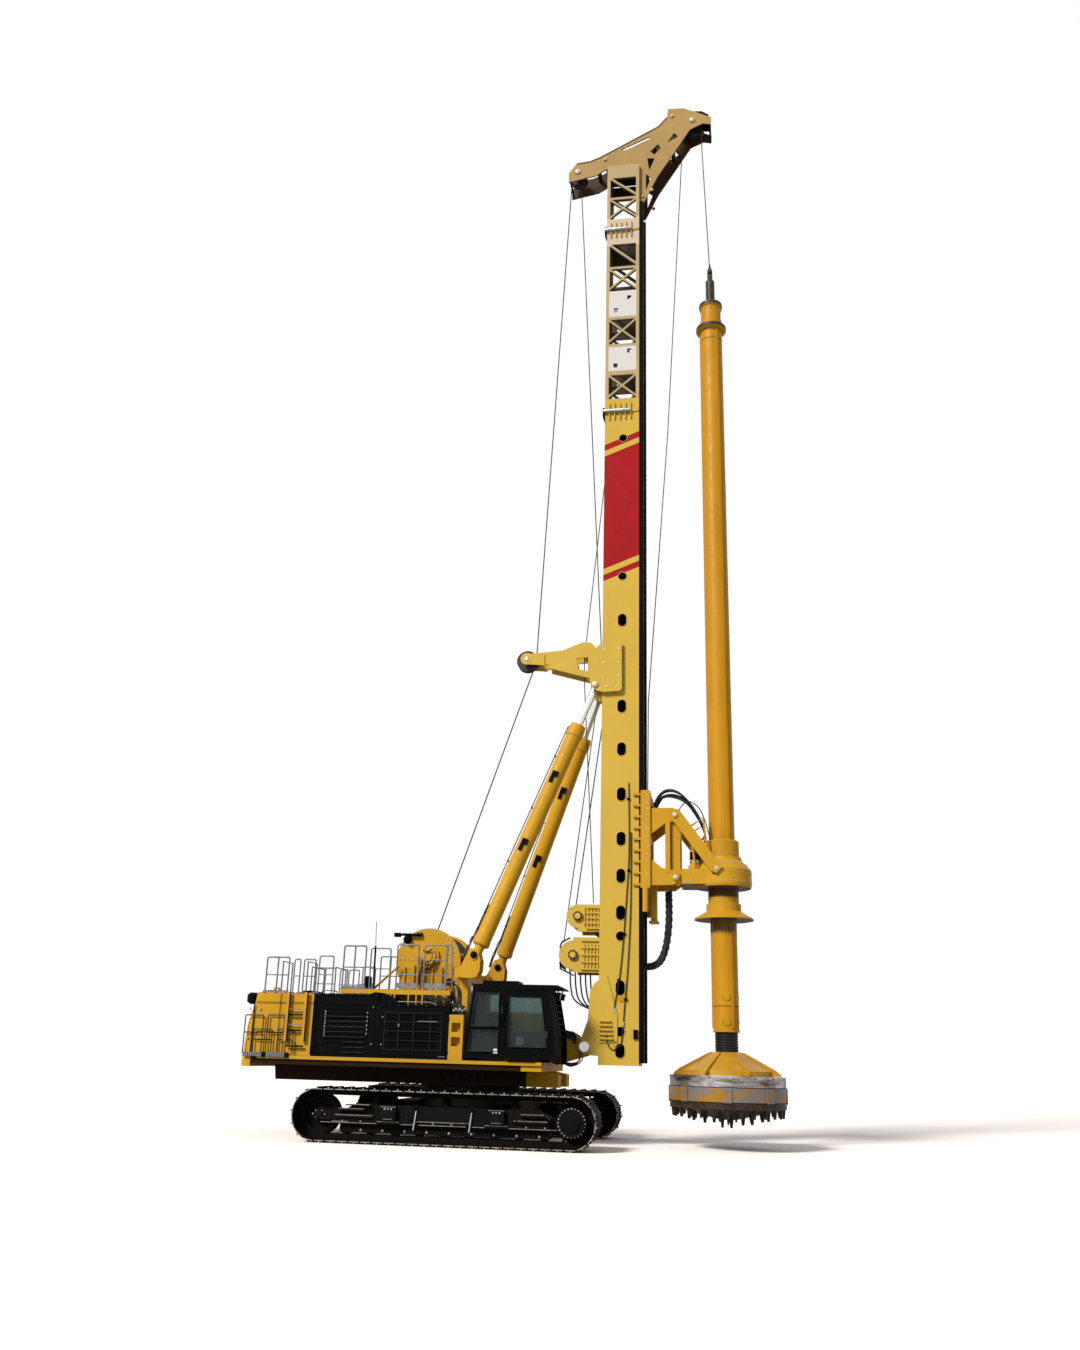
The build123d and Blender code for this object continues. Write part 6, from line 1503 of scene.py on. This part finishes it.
def taut(piece, points, radius, steps):
    """Straight runs of rope with many stations."""
    full = []
    for a, b in zip(points, points[1:]):
        full += [Vector(a).lerp(Vector(b), n / steps) for n in range(steps)]
    piece.tube(full + [Vector(points[-1])], radius, 6)


def on_groove(sheave, first, last):
    """Points on a sheave's groove from one angle to another, in degrees."""
    x, z, radius = sheave
    turns = arc(first, last - first, 15)
    return [(x + radius * math.cos(turn), HOIST_Y, z + radius * math.sin(turn)) for turn in turns]


def across_joint(piece):
    """Builds a rope's object and bakes its place into the mesh; it is put on no body."""
    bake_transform(piece.build())


def hoist_rope():
    """Hoist rope from the drum over the arm's sheave and the crown."""
    low, high = Piece("hoist_rope_low", "upper", "rope"), Piece("hoist_rope_high", "mast", "rope")
    drum = (DRUM_X - 0.10, HOIST_Y, DRUM_Z + 0.44)
    over_arm = on_groove(ARM_SHEAVE, -24, 3)
    taut(low, (drum, over_arm[0]), 0.016, 40)
    across_joint(low)
    high.tube(over_arm, 0.016, 6)
    x, z, groove = ARM_SHEAVE
    taut(high, ((x + groove, HOIST_Y, z + 0.012), (1.90, HOIST_Y, 26.20)), 0.016, 4)
    high.tube(on_groove(REAR_SHEAVE, 195, 65) + on_groove(FRONT_SHEAVE, 118, 0), 0.016, 6)
    for radius, y, outline in MAST_ROPES:
        taut(high, at_side(y, outline), radius, 4)
    done(high)


def kelly_rope():
    """Rope from the crown to the kelly's swivel, with the stop ball and the socket at its end."""
    rope, stop = pieces("mast", kelly_rope="rope", rope_stop="drum_steel")
    socket = Piece("rope_socket", "kelly_swivel", "drum_steel")
    x, z, groove = FRONT_SHEAVE
    x, eye = x + groove, 22.78
    taut(rope, ((x, HOIST_Y, z), (DRILL_X, 0, eye)), 0.016, 60)
    across_joint(rope)
    ball = [(-0.085 * math.cos(turn), 0.085 * math.sin(turn) + 0.001) for turn in arc(0, 180, 13)]
    stop.pillar(x + 0.02, HOIST_Y, z - 0.20, ball, 20)
    socket.pillar(DRILL_X, 0, 22.70, ((0, 0.062), (0.10, 0.062), (0.22, 0.03), (0.30, 0.02)), 20)
    socket.lathe((DRILL_X, -0.075, 22.74), (0, 1, 0), ((0, 0.038), (0.15, 0.038)), 20)
    done(stop, socket)


# ---------------------------------------------------------------- drive and tool
CARRIAGE_PINS = ((4.755, 7.27, 0.75), (5.70, 6.03, 0.725), (4.755, 5.84, 0.60))  # place, and reach in y
MOTOR = (5.19, 0.29)  # place of the two drive motors in x and y
KELLY_R = 0.29
BUNDLE = (  # (x, z) route of the hose bundle under the carriage
    (4.56, 5.58), (4.57, 5.2), (4.56, 4.78), (4.50, 4.32), (4.38, 4.00), (4.22, 3.88), (4.05, 3.86),
    (3.97, 3.88),
)


def drive_trim():
    """Bolts, caps and motor fittings on the rotary drive, and pins on the carriage."""
    bolts, yellow, steel, dark = pieces(
        "carriage", drive_bolts="stud", drive_trim="machine_yellow", motor_caps="stud",
        drive_dark="body_black",
    )
    axis = Vector((DRILL_X, 0, 0))
    for turn in arc(-100, 200, 30):
        out = spoke(turn)
        up = Vector((0, 0, 1))
        bolts.bolt(axis + out * 0.55 + up * 6.19, out * 0.3 + up, 0.013, 0.018)
        bolts.bolt(axis + out * 0.655 + up * 5.78, out, 0.013, 0.016)
        bolts.bolt(axis + out * 0.655 + up * 5.98, out, 0.011, 0.014)
    for s in SIDES:
        for x in (4.98, 5.08, 5.18, 5.62, 5.72, 5.82):
            for z in (5.77, 5.97):
                bolts.side_bolt(x, s * 0.545, z, 0.011, 0.014)
        for x, z, reach in CARRIAGE_PINS:
            steel.boss(x, s * (reach - 0.002), z, ((0, 0.05), (0.012, 0.05), (0.016, 0.03)))
        for z in between(5.75, 7.75, 14):
            bolts.side_bolt(4.10, s * 0.62, z, 0.013, 0.016)
        yellow.box((4.16, 4.175), (s * 0.28, s * 0.62), (SLED[1].z - 2.25, SLED[1].z - 0.02))
        x, y = MOTOR[0], s * MOTOR[1]
        dark.pillar(x, y, 6.28, ((0, 0.118), (0.18, 0.118), (0.19, 0.10)))
        steel.pillar(x, y, 6.48, ((0, 0.10), (0.05, 0.10), (0.07, 0.07), (0.09, 0.03)))
        steel.pillar(x, y, 6.20, ((0, 0.116), (0.05, 0.116)))
    done(bolts)
    done(yellow, bevel=0.003)
    done(steel, dark)


def hose(name, body, route, radius):
    """Free hydraulic hose on a smooth spline through the given stations; both ends go into the object."""
    curve = bpy.data.curves.new(name, "CURVE")
    curve.dimensions = "3D"
    spline = curve.splines.new("NURBS")
    spline.points.add(len(route) - 1)
    for point, (x, y, z) in zip(spline.points, route):
        point.co = (x + SLEW, y, z, 1)
    spline.order_u = 3
    spline.use_endpoint_u = True
    curve.resolution_u = 8
    curve.bevel_depth = radius
    curve.bevel_resolution = 3
    curve.use_fill_caps = True
    obj = bpy.data.objects.new(name, curve)
    bpy.context.collection.objects.link(obj)
    curve.materials.append(FINISH["rubber"])
    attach(obj, body)
    x, y, z = route[0]


def carriage_hoses():
    """Hoses that arch from the carriage frame over to the two motors, with their crimped ends and bracket."""
    ends, bracket = pieces("carriage", hose_ends="stud", hose_bracket="machine_yellow")
    start_x, start_z, end_z = 4.165, 7.58, 6.49
    for n in range(7):
        y = -0.33 + 0.11 * n
        lift = 0.05 * math.sin(n * 1.3)
        x_end = 5.13 + 0.06 * (n % 3)
        y_end = (-MOTOR[1] if n < 4 else MOTOR[1]) + 0.04 * (n % 2)
        y_over = (y + y_end) / 2
        route = (
            (start_x, y, start_z), (4.26, y, 7.59), (4.31, y, 7.76), (4.48, y, 7.94 + lift),
            (4.78, y_over, 7.92 + lift), (5.06, y_over, 7.70), (5.29, y_over, 7.34), (5.42, y_over, 7.02),
            (5.44, y_end, 6.84), (5.34, y_end, 6.74), (x_end, y_end, 6.72), (x_end, y_end, 6.60),
            (x_end, y_end, end_z),
        )
        hose(f"carriage_hose_{n + 1}", "carriage", route, 0.021)
        ends.lathe((start_x, y, start_z), (1, 0, 0), ((0, 0.027), (0.07, 0.027)), 12)
        ends.pillar(x_end, y_end, end_z - 0.01, ((0, 0.028), (0.12, 0.028)), 12)
    loop = (
        (4.82, -0.49, 7.38), (4.90, -0.47, 7.56), (5.10, -0.42, 7.68), (5.34, -0.40, 7.48),
        (5.46, -0.38, 7.15),
        (5.52, -0.32, 6.9), (5.56, -0.27, 6.77),
    )
    hose("carriage_hose_loop", "carriage", loop, 0.012)
    for y in (-0.42, 0.42):
        bracket.tube(at_side(y, ((5.08, 7.05), (5.40, 7.25), (5.48, 6.55))), 0.025)
        bracket.tube(((5.10, y, 7.05), (5.20, math.copysign(0.44, y), 6.10)), 0.025)
    bracket.rod((5.40, -0.42, 7.25), (5.40, 0.42, 7.25), 0.022)
    done(ends, bracket)


def nose_hoses():
    """Hoses that loop under the nose from the mast's carrier to its foot."""
    for n in range(3):
        y, low, start = -0.47 - 0.045 * n, 1.70 - 0.03 * n, 1.88 - 0.05 * n
        route = (
            (2.12, -0.402, start), (2.12, y, start - 0.02), (2.18, y, 1.75), (2.31, y, low), (2.46, y, low),
            (2.57, y, 1.75), (2.60, -0.51, 1.88), (2.60, -0.505, 1.98),
        )
        hose(f"nose_hose_{n + 1}", "upper", route, 0.015)


def kelly_trim():
    """Seams, lifting pads and ribs on the kelly bar, and the dark collars at its top."""
    seams, pads, dark = pieces(
        "kelly", kelly_seams="seam", kelly_pads="kelly_yellow", kelly_dark="drum_steel",
    )
    for z in (3.005, 20.45):
        seams.pillar(DRILL_X, 0, z, ((0, KELLY_R + 0.003), (0.014, KELLY_R + 0.003)), 48)
    for turn in arc(-86, 240, 3):
        for z in (2.67, 3.21):
            out = spoke(turn)
            spot = Vector((DRILL_X, 0, z)) + out * (KELLY_R - 0.01)
            pads.lathe(spot, out, ((0, 0.085), (0.022, 0.085), (0.026, 0.07)))
            seams.lathe(spot, out, ((0, 0.092), (0.004, 0.092)), 20)
    for z in between(2.06, 2.42, 7):
        dark.pillar(DRILL_X, 0, z, ((0, 0.25), (0.008, 0.262), (0.022, 0.262), (0.03, 0.25)), 40)
    pads.pillar(DRILL_X, 0, 2.455, ((0, 0.298), (0.03, 0.30), (0.04, 0.292)), 48)
    dark.pillar(DRILL_X, 0, 20.772, ((0, 0.341), (0.03, 0.404), (0.115, 0.404), (0.15, 0.341)), 48)
    dark.pillar(DRILL_X, 0, 21.545, ((0, 0.313), (0.09, 0.313)), 40)
    for turn in full_turn(12):
        out = spoke(turn)
        pads.lathe(Vector((DRILL_X, 0, 21.43)) + out * 0.275, out, ((-0.02, 0.014), (0.016, 0.014)), 8)
    done(seams)
    done(pads, bevel=0.003)
    done(dark)


def bucket_trim():
    """Bolts and weld beads round the drilling bucket."""
    steel, seams = pieces("kelly", bucket_bolts="tooth", bucket_seams="seam")
    reach = BUCKET[1].x - DRILL_X
    for turn in full_turn(16, 0.25):
        out = spoke(turn)
        steel.bolt(Vector((DRILL_X, 0, BUCKET_RIM - 0.05)) + out * (reach - 0.03), out, 0.018, 0.015)
    for z in (BUCKET_JOINT, BUCKET_LOW):
        seams.pillar(DRILL_X, 0, z - 0.008, ((0, reach - 0.024), (0.016, reach - 0.024)), 96)
    done(steel, seams)


def hose_bundle():
    """Lumpy bundle of hoses that hangs from the carriage back to the mast."""
    bundle = Piece("hose_bundle", "carriage", "rubber")
    points = rounded([Vector(p) for p in at_side(0.0, BUNDLE)], 3)
    for n, (point, following) in enumerate(zip(points, points[1:])):
        ahead = following - point
        swell = 0.082 + 0.012 * math.sin(n * 2.1)
        lump = ((0, swell * 0.9), (ahead.length * 0.5, swell), (ahead.length * 1.3, swell * 0.9))
        bundle.lathe(point - ahead * 0.15, ahead, lump, 14)
    for turn in full_turn(6):
        strand = []
        for k, point in enumerate(points):
            wound = turn + k * 0.05
            offset = (0.05 * math.cos(wound), 0.085 * math.sin(wound), 0.05 * math.cos(turn))
            strand.append(point + Vector(offset))
        bundle.tube(strand, 0.028)
    across_joint(bundle)


# ---------------------------------------------------------------- scene
EYE = (6.061, -27.734, 1.804)  # station and height of the camera
EYE_TURNS = (9.644, 18.159, 1.619)  # yaw, pitch and roll in degrees
FLOOR_SEEN = 1.08  # the floor's reflectance as the camera sees it, so that it reads as white
SKY_LIGHT = 0.42
SUN_LIGHT = 3.6
SUN_FROM = (-0.45, -0.68, 0.58)


def camera():
    """Camera low beside the machine, looking up along the mast."""
    yaw, pitch, roll = (math.radians(a) for a in EYE_TURNS)
    ahead = Vector((-math.sin(yaw) * math.cos(pitch), math.cos(yaw) * math.cos(pitch), math.sin(pitch)))
    level = spoke(yaw)
    rise = level.cross(ahead)
    right = math.cos(roll) * level + math.sin(roll) * rise
    up = -math.sin(roll) * level + math.cos(roll) * rise
    lens = bpy.data.cameras.new("camera")
    lens.sensor_width = 36
    lens.lens = 31.09
    lens.clip_end = 500
    eye = bpy.data.objects.new("camera", lens)
    turned = Matrix((right, up, -ahead)).transposed().to_4x4()
    eye.matrix_world = Matrix.Translation((EYE[0] + SLEW, *EYE[1:])) @ turned
    bpy.context.collection.objects.link(eye)
    bpy.context.scene.camera = eye


def ground():
    """White ground for the camera, dimmer for the light that it throws back."""
    bpy.ops.mesh.primitive_plane_add(size=600, location=(0, 0, 0))
    floor = bpy.context.object
    floor.name = "floor"
    m = Nodes("floor")
    pale = m.patches((0.46, 0.46, 0.47), (0.43, 0.43, 0.44), m.noise(0.3, 3))
    seen = m.add("ShaderNodeLightPath").outputs["Is Camera Ray"]
    m.colour(m.mix(seen, pale, (FLOOR_SEEN * 1.12, FLOOR_SEEN, FLOOR_SEEN * 0.91)))
    m.set({"Roughness": 1.0, "Specular IOR Level": 0.0})
    floor.data.materials.append(m.material)


def sky():
    """Dim blue light from all round; seen straight, in a reflection or through glass, the sky is white."""
    world = bpy.data.worlds.new("world")
    bpy.context.scene.world = world
    world.use_nodes = True
    tree = world.node_tree
    light = tree.nodes["Background"]
    light.inputs["Color"].default_value = (0.82, 0.90, 1.0, 1)
    light.inputs["Strength"].default_value = SKY_LIGHT
    white = tree.nodes.new("ShaderNodeBackground")
    white.inputs["Color"].default_value = (1, 1, 1, 1)
    path = tree.nodes.new("ShaderNodeLightPath")
    seen = path.outputs["Is Camera Ray"]
    for ray in ("Is Glossy Ray", "Is Transmission Ray"):
        either = tree.nodes.new("ShaderNodeMath")
        either.operation = "MAXIMUM"
        tree.links.new(seen, either.inputs[0])
        tree.links.new(path.outputs[ray], either.inputs[1])
        seen = either.outputs["Value"]
    blend = tree.nodes.new("ShaderNodeMixShader")
    for source, target in zip((seen, light.outputs[0], white.outputs[0]), blend.inputs):
        tree.links.new(source, target)
    tree.links.new(blend.outputs["Shader"], tree.nodes["World Output"].inputs["Surface"])


def sunlight():
    """Soft sun from behind the camera's left shoulder."""
    sun = bpy.data.lights.new("sun", "SUN")
    sun.energy, sun.angle = SUN_LIGHT, math.radians(14)
    holder = bpy.data.objects.new("sun", sun)
    holder.rotation_euler = Vector(SUN_FROM).to_track_quat("Z", "Y").to_euler()
    bpy.context.collection.objects.link(holder)


camera()
ground()
sky()
sunlight()
bpy.context.scene.view_settings.view_transform = "Standard"
dress_frame()

for make in (
    track_pads, wheel_bolts, side_frames, bearing_bolts, deck_trim, tail, roof, engine_panels, step_hoses,
    seat,
    cab_trim, door_handle, nose_hoses, winch, cylinders, mast_trim, mast_pipes, winch_caps, crown_trim,
    hoist_rope, kelly_rope, drive_trim, carriage_hoses, kelly_trim, bucket_trim, hose_bundle,
):
    make()
